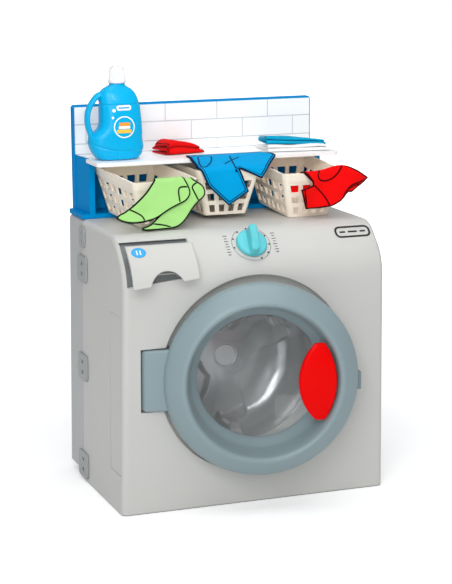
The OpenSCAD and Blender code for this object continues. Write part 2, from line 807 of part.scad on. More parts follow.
module support_screws() {
    color("#8d9194") for (a = support_angles) {
        rod(door_x + support_bolt_r * cos(a), drum_mid_h + support_bolt_r * sin(a), support_screw_r,
            support_plate_d - 1, support_plate_d + 16);
        rod(door_x + support_bolt_r * cos(a), drum_mid_h + support_bolt_r * sin(a), 4,
            support_plate_d - 3, support_plate_d - slack);
    }
}

module control_knob() {
    color("#66cdd6") on_panel(knob_x, knob_d) difference() {
        union() {
            translate([0, 0, 0.8]) cylinder(r = knob_r, h = knob_thick - 1.5, $fn = 96);
            translate([0, 0, knob_thick - 0.8]) cylinder(r1 = knob_r, r2 = knob_r - 2.5, h = 1.6, $fn = 96);
            rotate(-7) translate([0, 0, knob_thick + 0.7]) linear_extrude(knob_bar)
                rounded_rect(knob_bar_w, 2 * knob_r, knob_bar_w / 2 - 0.2);
            translate([0, 0, -wall - 3]) cylinder(r = stem_r, h = wall + 5);
        }
        translate([0, 0, -wall - 4]) cylinder(r = spindle_r + shaft_gap / 2, h = wall + 8);
    }
}

module knob_spindle() {
    color("#9aa0a3") on_panel(knob_x, knob_d) translate([0, 0, board_z + 2.2])
        cylinder(r = spindle_r, h = 3.6 - board_z - 2.2);
}

module rotary_switch() {
    color("#34506b") on_panel(knob_x, knob_d) difference() {
        translate([-11, -11, board_z + 1.7]) cube([22, 22, switch_top - board_z - 1.7]);
        translate([0, 0, board_z]) cylinder(r = spindle_r + shaft_gap, h = 30);
    }
}

module circuit_board() {
    color("#2f7a4d") on_panel(knob_x, knob_d) translate([case_x0 + 4, -case_half + 4, board_z])
        cube([case_x1 - case_x0 - 8, 2 * case_half - 8, 1.6]);
}

module speaker() {
    color("#2c2e30") on_panel(knob_x, knob_d) translate([speaker_x, 0, board_z + 1.8]) union() {
        cylinder(r = speaker_r, h = 4);
        cylinder(r1 = speaker_r - 1, r2 = speaker_r - 6, h = 7);
    }
}

module sound_case() {
    color("#4a5054") difference() {
        intersection() {
            on_panel(knob_x, knob_d) difference() {
                translate([case_x0, -case_half, -wall - case_deep]) cube([case_x1 - case_x0, 2 * case_half, 40]);
                translate([case_x0 + case_wall, -case_half + case_wall, -wall - case_deep + case_wall])
                    cube([case_x1 - case_x0 - 2 * case_wall, 2 * (case_half - case_wall), 50]);
            }
            body_form(wall + fit, wall);
        }
    }
    // Four pillars that carry the board
    color("#4a5054") on_panel(knob_x, knob_d) for (x = [case_x0 + 9, case_x1 - 9]) {
        for (y = [-11, 11]) {
            translate([x, y, -wall - case_deep + 1]) cylinder(r = 3, h = board_z + wall + case_deep - 1.1);
        }
    }
}

// Outline of the drawer's front with its finger cut-out, as a prism through the nose
module drawer_front_prism() {
    difference() {
        front_prism(drawer_outline(0), -40, 50);
        rod(finger_x, finger_h, finger_r, -60, 60);
    }
}

module detergent_drawer() {
    color("#dcdcd8") translate([0, -drawer_pull, 0]) union() {
        intersection() {
            difference() {
                body_form(0, 0);
                body_form(3, 3);
            }
            drawer_front_prism();
        }
        difference() {
            intersection() {
                block([tray_x0, tray_x1], [-20, tray_len], [tray_low, tray_high]);
                body_form(2, 2);
            }
            block([tray_x0 + 2, tray_x1 - 2], [front_at(tray_low) + 4, tray_len - 2],
                [tray_low + tray_floor, body_h]);
            rod(finger_x, finger_h, finger_r, -60, 22);
        }
    }
}

// The sleeve's flange lies behind the front shell, all round the drawer's opening
module drawer_sleeve() {
    color("#aeb1b2") difference() {
        union() {
            intersection() {
                block([tray_x0 - sleeve_gap - sleeve_wall, tray_x1 + sleeve_gap + sleeve_wall],
                    [-20, tray_len + 8],
                    [tray_low - sleeve_gap - sleeve_wall, tray_high + sleeve_gap + sleeve_wall]);
                body_form(wall + slack / 2, wall);
            }
            intersection() {
                difference() {
                    body_form(wall + slack / 2, wall);
                    body_form(wall + slack / 2 + sleeve_wall, wall);
                }
                front_prism(drawer_outline(sleeve_lip), -40, 50);
            }
        }
        block([tray_x0 - sleeve_gap, tray_x1 + sleeve_gap], [-30, tray_len + 8 - sleeve_wall],
            [tray_low - sleeve_gap, tray_high + sleeve_gap]);
    }
}

module battery_box() {
    color("#3c4246") difference() {
        union() {
            block([-box_half_w - box_wall, box_half_w + box_wall], [back_inner_d - box_deep - 1, back_inner_d - slack],
                [battery_h - box_half_h - box_wall, battery_h + box_half_h + box_wall]);
            block([-box_half_w - box_flange, box_half_w + box_flange], [back_inner_d - 2.6, back_inner_d - slack],
                [battery_h - box_half_h - box_flange, battery_h + box_half_h + box_flange]);
        }
        block([-box_half_w, box_half_w], [back_inner_d - box_deep + 1, body_d],
            [battery_h - box_half_h, battery_h + box_half_h]);
        rod(0, battery_h + box_half_h + 5, 1.5, back_inner_d - 5, body_d);
    }
}

module batteries() {
    color("#3f6f9e") for (i = [0 : cell_count - 1]) {
        flip = (i % 2 == 0) ? 1 : -1;
        translate([0, Y(back_inner_d - box_deep + 1.2 + cell_r), Z(battery_h + (i - (cell_count - 1) / 2) * cell_pitch)])
            rotate([0, 90 * flip, 0]) translate([0, 0, -cell_len / 2]) union() {
                cylinder(r = cell_r, h = cell_len - 1);
                cylinder(r = 1.9, h = cell_len);
            }
    }
}

module battery_contacts() {
    color("#c9cccd") for (side = [-1, 1]) {
        for (i = [0 : cell_count - 1]) {
            translate([side * (box_half_w - 0.7), Y(back_inner_d - box_deep + 1.4 + cell_r),
                Z(battery_h + (i - (cell_count - 1) / 2) * cell_pitch)]) union() {
                    cube([0.8, 8, 8], center = true);
                    translate([-side * 1.9, 0, 0]) rotate([0, 90, 0]) cylinder(r = 2.6, h = 3.6, center = true);
                }
        }
    }
}

module battery_door() {
    color("#c3c4c4") difference() {
        union() {
            block([-box_half_w - box_wall + 0.5, box_half_w + box_wall - 0.5], [body_d - 3, body_d],
                [battery_h - box_half_h - box_wall + 0.5, battery_h + box_half_h + box_wall - 0.5]);
            // Lug that the screw holds, lying on the back wall
            block([-7, 7], [body_d + slack, body_d + 2], [battery_h + box_half_h - 3, battery_h + box_half_h + 11]);
            block([-7, 7], [body_d - 1, body_d + 2], [battery_h + box_half_h - 3, battery_h + box_half_h + 1]);
        }
        rod(0, battery_h + box_half_h + 5, 1.8, body_d - 5, body_d + 5);
    }
}

module battery_door_screw() {
    color("#8d9194") union() {
        rod(0, battery_h + box_half_h + 5, 1.4, back_inner_d - 4, body_d + 2.2);
        rod(0, battery_h + box_half_h + 5, 3, body_d + 2.1, body_d + 3.6);
    }
}

// Plan of the cubby's walls: from the front edge to the back, grown in by inset
function cubby_plan(inset) = [
    [-cubby_edge(cubby_front_d, inset), Y(cubby_front_d)], [cubby_edge(cubby_front_d, inset), Y(cubby_front_d)],
    [cubby_edge(cubby_back_d, inset), Y(cubby_back_d)], [-cubby_edge(cubby_back_d, inset), Y(cubby_back_d)]];

module blue_housing() {
    color("#0a8fd8") difference() {
        union() {
            block([-base_half_w, base_half_w], [cubby_front_d, cubby_back_d], [base_low, floor_top]);
            translate([0, 0, Z(floor_top - 1)]) linear_extrude(cubby_wall_top - floor_top + 1)
                difference() {
                    polygon(cubby_plan(0));
                    polygon([for (p = cubby_plan(cubby_wall)) [p[0], p[1] - 1]]);
                }
            // Thin lip that hides the shelf's ends
            translate([0, 0, Z(cubby_wall_top - 1)]) linear_extrude(shelf_top - cubby_wall_top + 1)
                difference() {
                    polygon(cubby_plan(0));
                    polygon([for (p = cubby_plan(lip)) [p[0], p[1] - 1]]);
                }
            // Backsplash, a little narrower at its top
            front_prism([[-cubby_edge(cubby_back_d, 0), floor_top - 2], [cubby_edge(cubby_back_d, 0), floor_top - 2],
                [splash_half_w, splash_top - 3], [splash_half_w - 3, splash_top],
                [-splash_half_w + 3, splash_top], [-splash_half_w, splash_top - 3]], splash_d, cubby_back_d);
            for (side = [-1, 1]) {
                translate([side * housing_tab_x, Y(housing_tab_d), Z(base_low - housing_tab[2] / 2 + 1)])
                    cube([housing_tab[0], housing_tab[1], housing_tab[2] + 2], center = true);
            }
        }
        for (side = [-1, 1]) {
            translate([side * screw_x, Y(screw_d), Z(cubby_wall_top - 14)]) cylinder(r = 1.5 + shaft_gap, h = 20);
        }
    }
}

module tile_panel() {
    joint_w = 1.2;
    panel_low = shelf_top + 0.6;
    panel_half = splash_half_w - 2;
    rows = 4;
    color("#f4f4f4") difference() {
        block([-panel_half, panel_half], [splash_d - 1.3, splash_d - slack], [panel_low, splash_top - 2.5]);
        for (row = [1 : rows]) {
            block([-panel_half - 1, panel_half + 1], [splash_d - 2, splash_d - 0.9],
                [splash_top - row * tile_h - joint_w / 2, splash_top - row * tile_h + joint_w / 2]);
        }
        for (row = [0 : rows - 1]) {
            for (i = [-2 : 2]) {
                x = -6 + (i + (row % 2 == 0 ? 0 : 0.5)) * tile_w;
                block([x - joint_w / 2, x + joint_w / 2], [splash_d - 2, splash_d - 0.9],
                    [splash_top - (row + 1) * tile_h, splash_top - row * tile_h]);
            }
        }
    }
}

module shelf() {
    front = Y(shelf_front_d);
    step = Y(cubby_front_d - fit);
    back = Y(splash_d - fit);
    gap = lip + fit;
    r = 9;
    color("#f7f7f7") difference() {
        translate([0, 0, Z(shelf_top - shelf_thick)]) linear_extrude(shelf_thick) polygon(concat(
            arc(shelf_half_w - r, front + r, r, -90, 0, 6),
            [[shelf_half_w, step], [cubby_edge(cubby_front_d, gap), step],
                [cubby_edge(splash_d, gap), back], [-cubby_edge(splash_d, gap), back],
                [-cubby_edge(cubby_front_d, gap), step], [-shelf_half_w, step]],
            arc(-shelf_half_w + r, front + r, r, 180, 270, 6)));
        for (side = [-1, 1]) {
            translate([side * screw_x, Y(screw_d), Z(shelf_top - shelf_thick - 1)]) cylinder(r = 1.8, h = 20);
            translate([side * screw_x, Y(screw_d), Z(shelf_top - 1.8)]) cylinder(r = 3.3, h = 10);
        }
    }
}

module shelf_screws() {
    color("#b4b8ba") for (side = [-1, 1]) {
        translate([side * screw_x, Y(screw_d), Z(cubby_wall_top - 12)]) cylinder(r = 1.5, h = 17);
        translate([side * screw_x, Y(screw_d), Z(shelf_top - 1.7)]) cylinder(r = 3, h = 1.5);
    }
}

// A rounded rectangle plate, one corner of the basket's tapered form
module basket_slab(grow, h, r) {
    translate([0, basket_l / 2, h]) linear_extrude(0.1) rounded_rect(basket_w + 2 * grow, basket_l + 2 * grow, r);
}

function flare_at(h) = basket_flare * h / basket_h;

module basket() {
    hole_h = (basket_h - rim_band - 4) / hole_rows;
    bar = 7;
    // Holes fan out with the flare, and each row goes right through both facing walls
    difference() {
        union() {
            hull() {
                basket_slab(0, 0, 6);
                basket_slab(basket_flare, basket_h - 0.1, 9);
            }
            hull() {
                basket_slab(flare_at(basket_h - rim_band) + rim_lip, basket_h - rim_band, 9);
                basket_slab(basket_flare + rim_lip, basket_h - 0.1, 9);
            }
        }
        hull() {
            basket_slab(-basket_wall, basket_wall, 5);
            basket_slab(basket_flare - basket_wall + flare_at(0.2), basket_h + 0.1, 8);
        }
        for (row = [0 : hole_rows - 1]) {
            low = 5 + row * hole_h;
            high = low + hole_h - bar;
            for (i = [0 : holes_across - 1]) {
                fan_hole(i, holes_across, basket_w, low, high, bar, false);
            }
            for (i = [0 : holes_along - 1]) {
                fan_hole(i, holes_along, basket_l, low, high, bar, true);
            }
        }
    }
}

// One square hole, as a prism whose sides follow the flare of the wall of width span
module fan_hole(i, count, span, low, high, bar, sideways) {
    w0 = span + 2 * flare_at(low) - 12;
    w1 = span + 2 * flare_at(high) - 12;
    points = [
        [-w0 / 2 + w0 * i / count + bar / 2, low], [-w0 / 2 + w0 * (i + 1) / count - bar / 2, low],
        [-w1 / 2 + w1 * (i + 1) / count - bar / 2, high], [-w1 / 2 + w1 * i / count + bar / 2, high]];
    reach = basket_l + 4 * basket_flare;
    if (sideways) {
        translate([-reach / 2, basket_l / 2, 0]) rotate([90, 0, 90]) linear_extrude(reach) polygon(points);
    } else {
        translate([0, basket_l / 2 + reach / 2, 0]) rotate([90, 0, 0]) linear_extrude(reach) polygon(points);
    }
}

module basket_left() {
    color("#f6e8d2") at_basket(left_place) basket();
}

module basket_middle() {
    color("#f6e8d2") at_basket(middle_place) basket();
}

module basket_right() {
    color("#f6e8d2") at_basket(right_place) basket();
}

// The bottle's outline from the front, in x from the cap's middle and height above the shelf
bottle_foot = shelf_top + fit;
neck_r = 8;
neck_tall = 15;
bottle_outline = [
    [-31, 0], [26, 0], [36, 9], [40.5, 20], [38.5, 26], [39, 42], [38, 66], [36, 84], [32, 97], [25, 107], [13, 114],
    [12, 119], [-12, 119], [-12, 115], [-27, 109], [-34, 100], [-40, 94], [-48, 82], [-52.5, 68], [-52, 54],
    [-47, 42], [-50, 35], [-46, 20], [-38, 6]];
bottle_hole = [
    [-30.5, 93], [-36, 89], [-43, 78], [-46, 66], [-44.5, 55], [-39, 46], [-34, 42.5], [-31, 45], [-29.5, 60],
    [-29.5, 84]];
bottle_side = [
    [-0.42, 0], [0.42, 0], [0.5, 0.1], [0.5, 0.62], [0.44, 0.78], [0.26, 0.93], [0.26, 1], [-0.26, 1],
    [-0.26, 0.93], [-0.44, 0.78], [-0.5, 0.62], [-0.5, 0.1]];

module bottle() {
    lift = bottle_tall / 119;
    outline = [for (p = bottle_outline) [p[0] + bottle_x, p[1] * lift + bottle_foot]];
    hole = [for (p = bottle_hole) [p[0] + bottle_x, p[1] * lift + bottle_foot]];
    side = [for (p = bottle_side) [p[0] * bottle_thick + bottle_d, p[1] * bottle_tall + bottle_foot]];
    color("#00aef5") difference() {
        intersection() {
            front_prism(outline, bottle_d - bottle_thick, bottle_d + bottle_thick);
            side_prism(side, bottle_x - 80, bottle_x + 80);
            translate([bottle_x - 5, Y(bottle_d), Z(bottle_foot - 1)]) linear_extrude(bottle_tall + 2)
                rounded_rect(96, bottle_thick + 1, bottle_thick / 2.3);
        }
        front_prism(hole, bottle_d - bottle_thick, bottle_d + bottle_thick);
        // Hollow inside
        translate([bottle_x + 3, Y(bottle_d), Z(bottle_foot + 3)]) linear_extrude(bottle_tall * 0.6)
            rounded_rect(54, bottle_thick - 8, 14);
        translate([bottle_x - 1, Y(bottle_d), Z(bottle_foot + bottle_tall * 0.6)])
            cylinder(r1 = 17, r2 = 8, h = bottle_tall * 0.4 - 6);
    }
    // Neck that the cap sits on
    color("#00aef5") translate([bottle_x, Y(bottle_d), Z(bottle_foot + bottle_tall - 1)])
        cylinder(r = neck_r, h = neck_tall + 1);
}

module bottle_cap() {
    foot = bottle_foot + bottle_tall + fit;
    color("#fbfbfb") difference() {
        translate([bottle_x, Y(bottle_d), Z(foot)]) union() {
            cylinder(r = cap_r, h = 5);
            translate([0, 0, 5]) cylinder(r1 = cap_r - 0.6, r2 = cap_r - 3.5, h = cap_tall - 5);
            for (a = [0 : 15 : 345]) {
                rotate(a) translate([cap_r - 1, 0, 4]) rotate([0, -7.8, 0])
                    cylinder(r = 0.9, h = cap_tall - 5.5, $fn = 16);
            }
        }
        translate([bottle_x, Y(bottle_d), Z(foot - 1)]) cylinder(r = neck_r + fit, h = neck_tall + 1 + fit);
    }
}

// Places and sizes of the folded cloths
red_fold_x = -44;
red_fold_d = 232;
red_fold_w = 68;
red_fold_l = 50;
white_fold_x = shelf_half_w - 53;
white_fold_d = 206;
white_fold_w = 92;
white_fold_l = 84;

// A folded cloth: layers of rounded plates, each a little smaller and turned
module fold_stack(x, d, h, w, l, yaw, layers) {
    each_thick = fold_thick / layers;
    for (i = [0 : layers - 1]) {
        translate([x, Y(d), Z(h) + i * each_thick]) rotate(yaw + i * 2.5) linear_extrude(each_thick + (i < layers - 1 ? 0.2 : 0))
            rounded_rect(w - 3 * i, l - 2 * i, 6);
    }
}

module folded_red_cloth() {
    color("#e3191b") fold_stack(red_fold_x, red_fold_d, shelf_top + fit, red_fold_w, red_fold_l, 14, 2);
    color("#e3191b") fold_stack(red_fold_x + 1, red_fold_d + 2, shelf_top + fit + fold_thick - 0.1,
        red_fold_w - 12, red_fold_l - 8, 20, 2);
}

module folded_white_cloth() {
    color("#f4f4f4") fold_stack(white_fold_x, white_fold_d, shelf_top + fit, white_fold_w, white_fold_l, -6, 2);
}

module folded_blue_cloth() {
    color("#12a3d6") fold_stack(white_fold_x - 3, white_fold_d + 6, shelf_top + 2 * fit + fold_thick,
        white_fold_w - 4, white_fold_l - 22, -6, 2);
}

// The shorts lie on the shelf's front, pass over the basket's rim and hang down
module felt_shorts() {
    top = shelf_top + fit;
    rim_d = home_d - basket_flare - rim_lip;
    rim_h = lip_rest + basket_h;
    color("#0aa0e0") intersection() {
        side_prism([
            [shelf_front_d + 48, top], [shelf_front_d, top], [rim_d - 1, rim_h + 0.8], [rim_d - 1.4, rim_h - 4],
            [rim_d - 1.4, rim_h - 70], [rim_d - 1.4 - felt, rim_h - 70], [rim_d - 1.4 - felt, rim_h - 3],
            [rim_d - 1, rim_h + 0.8 + felt], [shelf_front_d - 1, top + felt], [shelf_front_d + 48, top + felt]],
            -120, 140);
        front_prism([[-66, 545], [-74, 530], [-8, 451], [31, 483], [14, 513], [48, 493], [82, 524], [92, 545]],
            60, 230);
    }
}

// Felt that comes up from inside a basket, passes over the front rim and hangs down outside.
// The path is in the basket's own frame: depth behind the bottom's front edge, and height.
module rim_drape(offset_out, tail, foot) {
    lean = basket_flare / (basket_h - basket_wall);
    o = offset_out;
    inner = -basket_flare + basket_wall + fit;
    outer = -basket_flare - rim_lip - fit;
    top = basket_h + fit;
    difference() {
        translate([-120, 0, 0]) rotate([90, 0, 90]) linear_extrude(240) polygon([
            [inner + lean * (basket_h - tail) + o, tail], [inner + o, top + o], [outer - o, top + o],
            [outer - o - 1, top - 3], [outer - o - 6, 30 + o], [foot[0] - o, foot[1] + o / 2],
            [foot[0] - o - felt, foot[1] + o / 2 + 1.4], [outer - o - 6 - felt, 31.4 + o],
            [outer - o - 1 - felt, top - 2.4], [outer - o - 0.6, top + o + felt],
            [inner + o + 0.4, top + o + felt], [inner + lean * (basket_h - tail) + o + felt, tail]]);
        // The part inside the basket stays clear of its corners
        for (side = [-1, 1]) {
            translate([side * (100 + inner_reach), 0, (basket_h + fit) / 2])
                cube([200, 2 * (basket_flare + rim_lip + slack), basket_h + fit + eps], center = true);
        }
    }
}

// An outline in the basket's own width and height, carried through its depth
module drape_outline(points, d0, d1) {
    translate([0, d1, 0]) rotate([90, 0, 0]) linear_extrude(d1 - d0) polygon(points);
}

module felt_sock_front() {
    color("#b4ec8c") at_basket(left_place) intersection() {
        rim_drape(felt + fit, 56, [-43, 3.4]);
        drape_outline([[-15, 90], [-60, 37], [-80, 27], [-82, 22], [-66, 14], [-40, 13], [18, 40], [38, 58], [33, 90]],
            -90, 40);
    }
}

module felt_sock_back() {
    color("#b4ec8c") at_basket(left_place) intersection() {
        rim_drape(0, 50, [-43, 3.4]);
        drape_outline([[-6, 90], [40, 90], [53, 71], [56, 57], [36, 31], [8, 6], [0, 3], [-30, 3], [-42, 6],
            [-34, 16], [-6, 36]], -90, 40);
    }
}

module felt_shirt() {
    color("#e8201f") at_basket(right_place) union() {
        intersection() {
            rim_drape(0, 50, [-33, 8]);
            drape_outline([[-17, 90], [-14, 56], [-23, 50], [-14, 14], [26, 17], [50, 30], [64, 41], [92, 60],
                [88, 66], [46, 88], [44, 90]], -90, -basket_flare + 1);
        }
        intersection() {
            rim_drape(0, 8, [-33, 8]);
            drape_outline([[-17, 90], [-24, 50], [-24, 8], [26, 8], [34, 50], [36, 90]], -basket_flare, 40);
        }
    }
}

front_shell();
rear_shell();
floor_glides();
snap_clips();
door_frame_front();
door_frame_back();
door_window();
door_handle();
door_latch_tab();
door_screws();
door_hinge_pin();
latch_catch();
drum();
drum_hub_cap();
drum_axle();
drum_screw();
axle_clip();
drum_bush();
drum_support();
support_screws();
control_knob();
knob_spindle();
rotary_switch();
sound_case();
circuit_board();
speaker();
battery_box();
batteries();
battery_contacts();
battery_door();
battery_door_screw();
detergent_drawer();
drawer_sleeve();
blue_housing();
tile_panel();
shelf();
shelf_screws();
basket_left();
basket_middle();
basket_right();
bottle();
bottle_cap();
folded_red_cloth();
folded_white_cloth();
folded_blue_cloth();
felt_shorts();
felt_sock_front();
felt_sock_back();
felt_shirt();
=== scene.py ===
"""Toy washing machine with a tiled shelf, baskets, a bottle and felt clothes: the visible surfaces.

Places are written as (x, d, h) in millimetres: x to the right, d behind the front plane, h above the
body's bottom edge. The function row_frame turns them into metres with +Y to the back and +Z up.
"""

import math

import bmesh
import bpy
import numpy as np
from bpy.props import FloatProperty, FloatVectorProperty, IntProperty, PointerProperty
from mathutils import Matrix, Vector


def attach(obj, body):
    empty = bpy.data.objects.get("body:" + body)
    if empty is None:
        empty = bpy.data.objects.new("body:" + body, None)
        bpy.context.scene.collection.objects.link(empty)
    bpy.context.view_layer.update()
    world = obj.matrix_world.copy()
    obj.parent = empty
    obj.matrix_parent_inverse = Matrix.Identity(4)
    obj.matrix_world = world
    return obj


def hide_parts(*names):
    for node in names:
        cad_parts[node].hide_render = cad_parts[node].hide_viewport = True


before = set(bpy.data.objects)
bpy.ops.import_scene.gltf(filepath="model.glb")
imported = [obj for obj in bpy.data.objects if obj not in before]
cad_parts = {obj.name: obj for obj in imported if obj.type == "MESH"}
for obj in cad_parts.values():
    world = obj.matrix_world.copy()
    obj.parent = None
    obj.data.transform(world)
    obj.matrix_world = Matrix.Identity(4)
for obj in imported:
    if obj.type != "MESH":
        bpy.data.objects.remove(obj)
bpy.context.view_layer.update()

bl_info = {
    "name": "Toy washing machine",
    "version": (1, 0, 0),
    "blender": (4, 5, 0),
    "location": "View3D > Sidebar > Toy washer",
    "description": "Builds the visible surfaces of a toy washing machine round its packed frame",
    "category": "Object",
}

BODY_D, FOOT = 290.0, 1.5
DOOR_X, DOOR_H = -1.5, 205.0
AJAR, PIN = math.radians(12.0), (-172.0, 1.0)
KNOB = np.array([0.5, 17.0, 403.5])
SHELF_TOP = 522.0


def linear(code):
    """An sRGB hex colour as linear red, green and blue: each channel by the sRGB curve."""
    parts = [int(code[i : i + 2], 16) / 255 for i in (1, 3, 5)]
    return tuple(c / 12.92 if c <= 0.04045 else ((c + 0.055) / 1.055) ** 2.4 for c in parts)


def row_frame(points):
    """(x, d, h) in millimetres to the row's frame in metres."""
    p = np.asarray(points, float)
    return np.stack([p[..., 0], p[..., 1] - BODY_D / 2, p[..., 2] + FOOT], axis=-1) / 1000


def smooth_step(x, low, high):
    """0 below low, 1 above high, and 3t^2 - 2t^3 between them."""
    t = np.clip((x - low) / (high - low), 0, 1)
    return t * t * (3 - 2 * t)


def rounded_path(points, rounds=3, closed=False):
    """A path whose corners are cut at a quarter and three quarters of each side, rounds times."""
    p = np.asarray(points, float)
    for _ in range(rounds):
        q = np.roll(p, -1, axis=0) if closed else p[1:]
        a = p if closed else p[:-1]
        cut = np.stack([0.75 * a + 0.25 * q, 0.25 * a + 0.75 * q], axis=1).reshape(-1, p.shape[1])
        p = cut if closed else np.concatenate([p[:1], cut, p[-1:]])
    return p


def even_path(points, count, closed=False):
    """The same path, stepped evenly by its length at count points."""
    p = np.asarray(points, float)
    if closed:
        p = np.concatenate([p, p[:1]])
    s = np.concatenate([[0], np.cumsum(np.linalg.norm(np.diff(p, axis=0), axis=1))])
    t = np.linspace(0, s[-1], count, endpoint=not closed)
    return np.stack([np.interp(t, s, p[:, k]) for k in range(p.shape[1])], axis=1)


def along(points, at):
    """Place on a path at length at, in millimetres from its start."""
    p = np.asarray(points, float)
    s = np.concatenate([[0], np.cumsum(np.linalg.norm(np.diff(p, axis=0), axis=1))])
    return np.stack([np.interp(at, s, p[:, k]) for k in range(p.shape[1])], axis=-1)


def grid_faces(nu, nv, wrap_u, wrap_v, start=0):
    """Quads of a grid of nu by nv points, joined end to end where it wraps."""
    i, j = np.meshgrid(np.arange(nu if wrap_u else nu - 1), np.arange(nv if wrap_v else nv - 1), indexing="ij")
    i2, j2 = (i + 1) % nu, (j + 1) % nv
    return start + np.stack([i * nv + j, i2 * nv + j, i2 * nv + j2, i * nv + j2], axis=-1).reshape(-1, 4)


def piece(name, grids, body, material, replaces=(), open_sheet=False, attributes=None):
    """One object from grids, each (points[nu, nv, 3] in x, d, h, wraps along u, wraps along v).

    Points that fall together at a pole or seam are merged, and faces are turned outwards.
    """
    points, faces, start = [], [], 0
    for p, wrap_u, wrap_v in grids:
        nu, nv = p.shape[:2]
        points.append(row_frame(p).reshape(-1, 3))
        faces.append(grid_faces(nu, nv, wrap_u, wrap_v, start))
        start += nu * nv
    mesh = bpy.data.meshes.new(name)
    mesh.from_pydata(np.concatenate(points), [], np.concatenate(faces))
    if attributes:
        for key, values in attributes.items():
            layer = mesh.attributes.new(key, "FLOAT", "POINT")
            layer.data.foreach_set("value", np.asarray(values, np.float32).ravel())
    bm = bmesh.new()
    bm.from_mesh(mesh)
    bmesh.ops.remove_doubles(bm, verts=bm.verts, dist=1e-6)
    bmesh.ops.dissolve_degenerate(bm, edges=bm.edges, dist=1e-7)
    if not open_sheet:
        bmesh.ops.recalc_face_normals(bm, faces=bm.faces)
    bm.to_mesh(mesh)
    bm.free()
    mesh.polygons.foreach_set("use_smooth", np.ones(len(mesh.polygons), bool))
    mesh.materials.append(material)
    obj = bpy.data.objects.new(name, mesh)
    bpy.context.scene.collection.objects.link(obj)
    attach(obj, body)
    if replaces:
        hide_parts(*replaces)
    return obj


def turned(profile, steps=224):
    """A profile of (radius, distance in front) turned about the door's axis."""
    p = np.asarray(profile, float)
    a = np.linspace(0, 2 * math.pi, steps, endpoint=False)
    r, f = p[:, :1], p[:, 1:]
    x = DOOR_X + r * np.cos(a)[None]
    h = DOOR_H + r * np.sin(a)[None]
    return np.stack([x, -f * np.ones_like(x), h], axis=-1)


def swung(points):
    """Turns (x, d, h) about the hinge pin by the angle at which the door stands open."""
    x, d = points[..., 0] - PIN[0], points[..., 1] - PIN[1]
    c, s = math.cos(AJAR), math.sin(AJAR)
    return np.stack([PIN[0] + x * c + d * s, PIN[1] - x * s + d * c, points[..., 2]], axis=-1)


def cushion_form(outline, profile, place, caps=(True, True)):
    """A closed outline carried through a profile of (inset, lift): each ring is the outline drawn in by
    the inset along its own normals, at that lift, and the ends close towards the outline's centre."""
    o = np.asarray(outline, float)
    t = np.roll(o, -1, axis=0) - np.roll(o, 1, axis=0)
    n = np.stack([t[:, 1], -t[:, 0]], axis=1) / np.maximum(np.linalg.norm(t, axis=1), 1e-9)[:, None]
    if np.cross(o, np.roll(o, -1, axis=0)).sum() < 0:
        n = -n
    centre = o.mean(0)
    rings = []
    profile = np.asarray(profile, float)
    first, last = profile[0], profile[-1]
    if caps[0]:
        rings += [(centre + (o - n * first[0] - centre) * s, first[1]) for s in (0.0, 0.3, 0.6, 0.85)]
    rings += [(o - n * inset, lift) for inset, lift in profile]
    if caps[1]:
        rings += [(centre + (o - n * last[0] - centre) * s, last[1]) for s in (0.85, 0.6, 0.3, 0.0)]
    flat = np.stack([np.concatenate([r, np.full((len(r), 1), z)], axis=1) for r, z in rings])
    return place(flat[..., 0], flat[..., 1], flat[..., 2])


def edge_round(thick, radius, back=0.0, steps=6):
    """Profile of (inset, lift) for a slab from lift 0 to thick whose front edge has a quarter round."""
    a = np.linspace(0, math.pi / 2, steps)
    front = np.stack([radius * (1 - np.cos(a)), thick - radius * (1 - np.sin(a))], axis=1)
    rear = [[back, 0.0], [0.0, back]] if back else [[0.0, 0.0]]
    return np.concatenate([rear, front])


def rounded_box_outline(w, l, r, count=12):
    """A rectangle w by l with corner radius r, anticlockwise."""
    a = np.linspace(0, math.pi / 2, count)
    corner = np.stack([np.cos(a), np.sin(a)], axis=1) * r
    parts = []
    for k, (sx, sy) in enumerate([(1, 1), (-1, 1), (-1, -1), (1, -1)]):
        turn = np.array([[math.cos(k * math.pi / 2), math.sin(k * math.pi / 2)],
                         [-math.sin(k * math.pi / 2), math.cos(k * math.pi / 2)]])
        parts.append(corner @ turn + [sx * (w / 2 - r), sy * (l / 2 - r)])
    return even_path(np.concatenate(parts), 4 * count + 40, closed=True)


def on_panel(x, y, z):
    """Slanted panel: y runs up the panel and z is its outward normal, from the knob's centre."""
    c = math.sqrt(0.5)
    return np.stack([KNOB[0] + x, KNOB[1] + (y - z) * c, KNOB[2] + (y + z) * c], axis=-1)


def on_front(x, h, f):
    """The front plane: f stands in front of it."""
    return np.stack([x, -f, h], axis=-1)


# ---------------------------------------------------------------- materials


def add(tree, kind, x, y, inputs=None, links=None, **settings):
    """Adds one node with its settings, input values and incoming links."""
    node = tree.nodes.new(kind)
    node.location = (x, y)
    for key, value in settings.items():
        setattr(node, key, value)
    for key, value in (inputs or {}).items():
        node.inputs[key].default_value = value
    for key, source in (links or {}).items():
        tree.links.new(source, node.inputs[key])
    return node


def blank(name):
    """An empty material, its tree, and the output node."""
    material = bpy.data.materials.new(name)
    material.use_nodes = True
    tree = material.node_tree
    tree.nodes.clear()
    return material, tree, add(tree, "ShaderNodeOutputMaterial", 900, 0)


def rgba(colour):
    return (*colour[:3], 1.0)


def shade(colour, factor):
    return tuple(min(1.0, c * factor) for c in colour[:3])


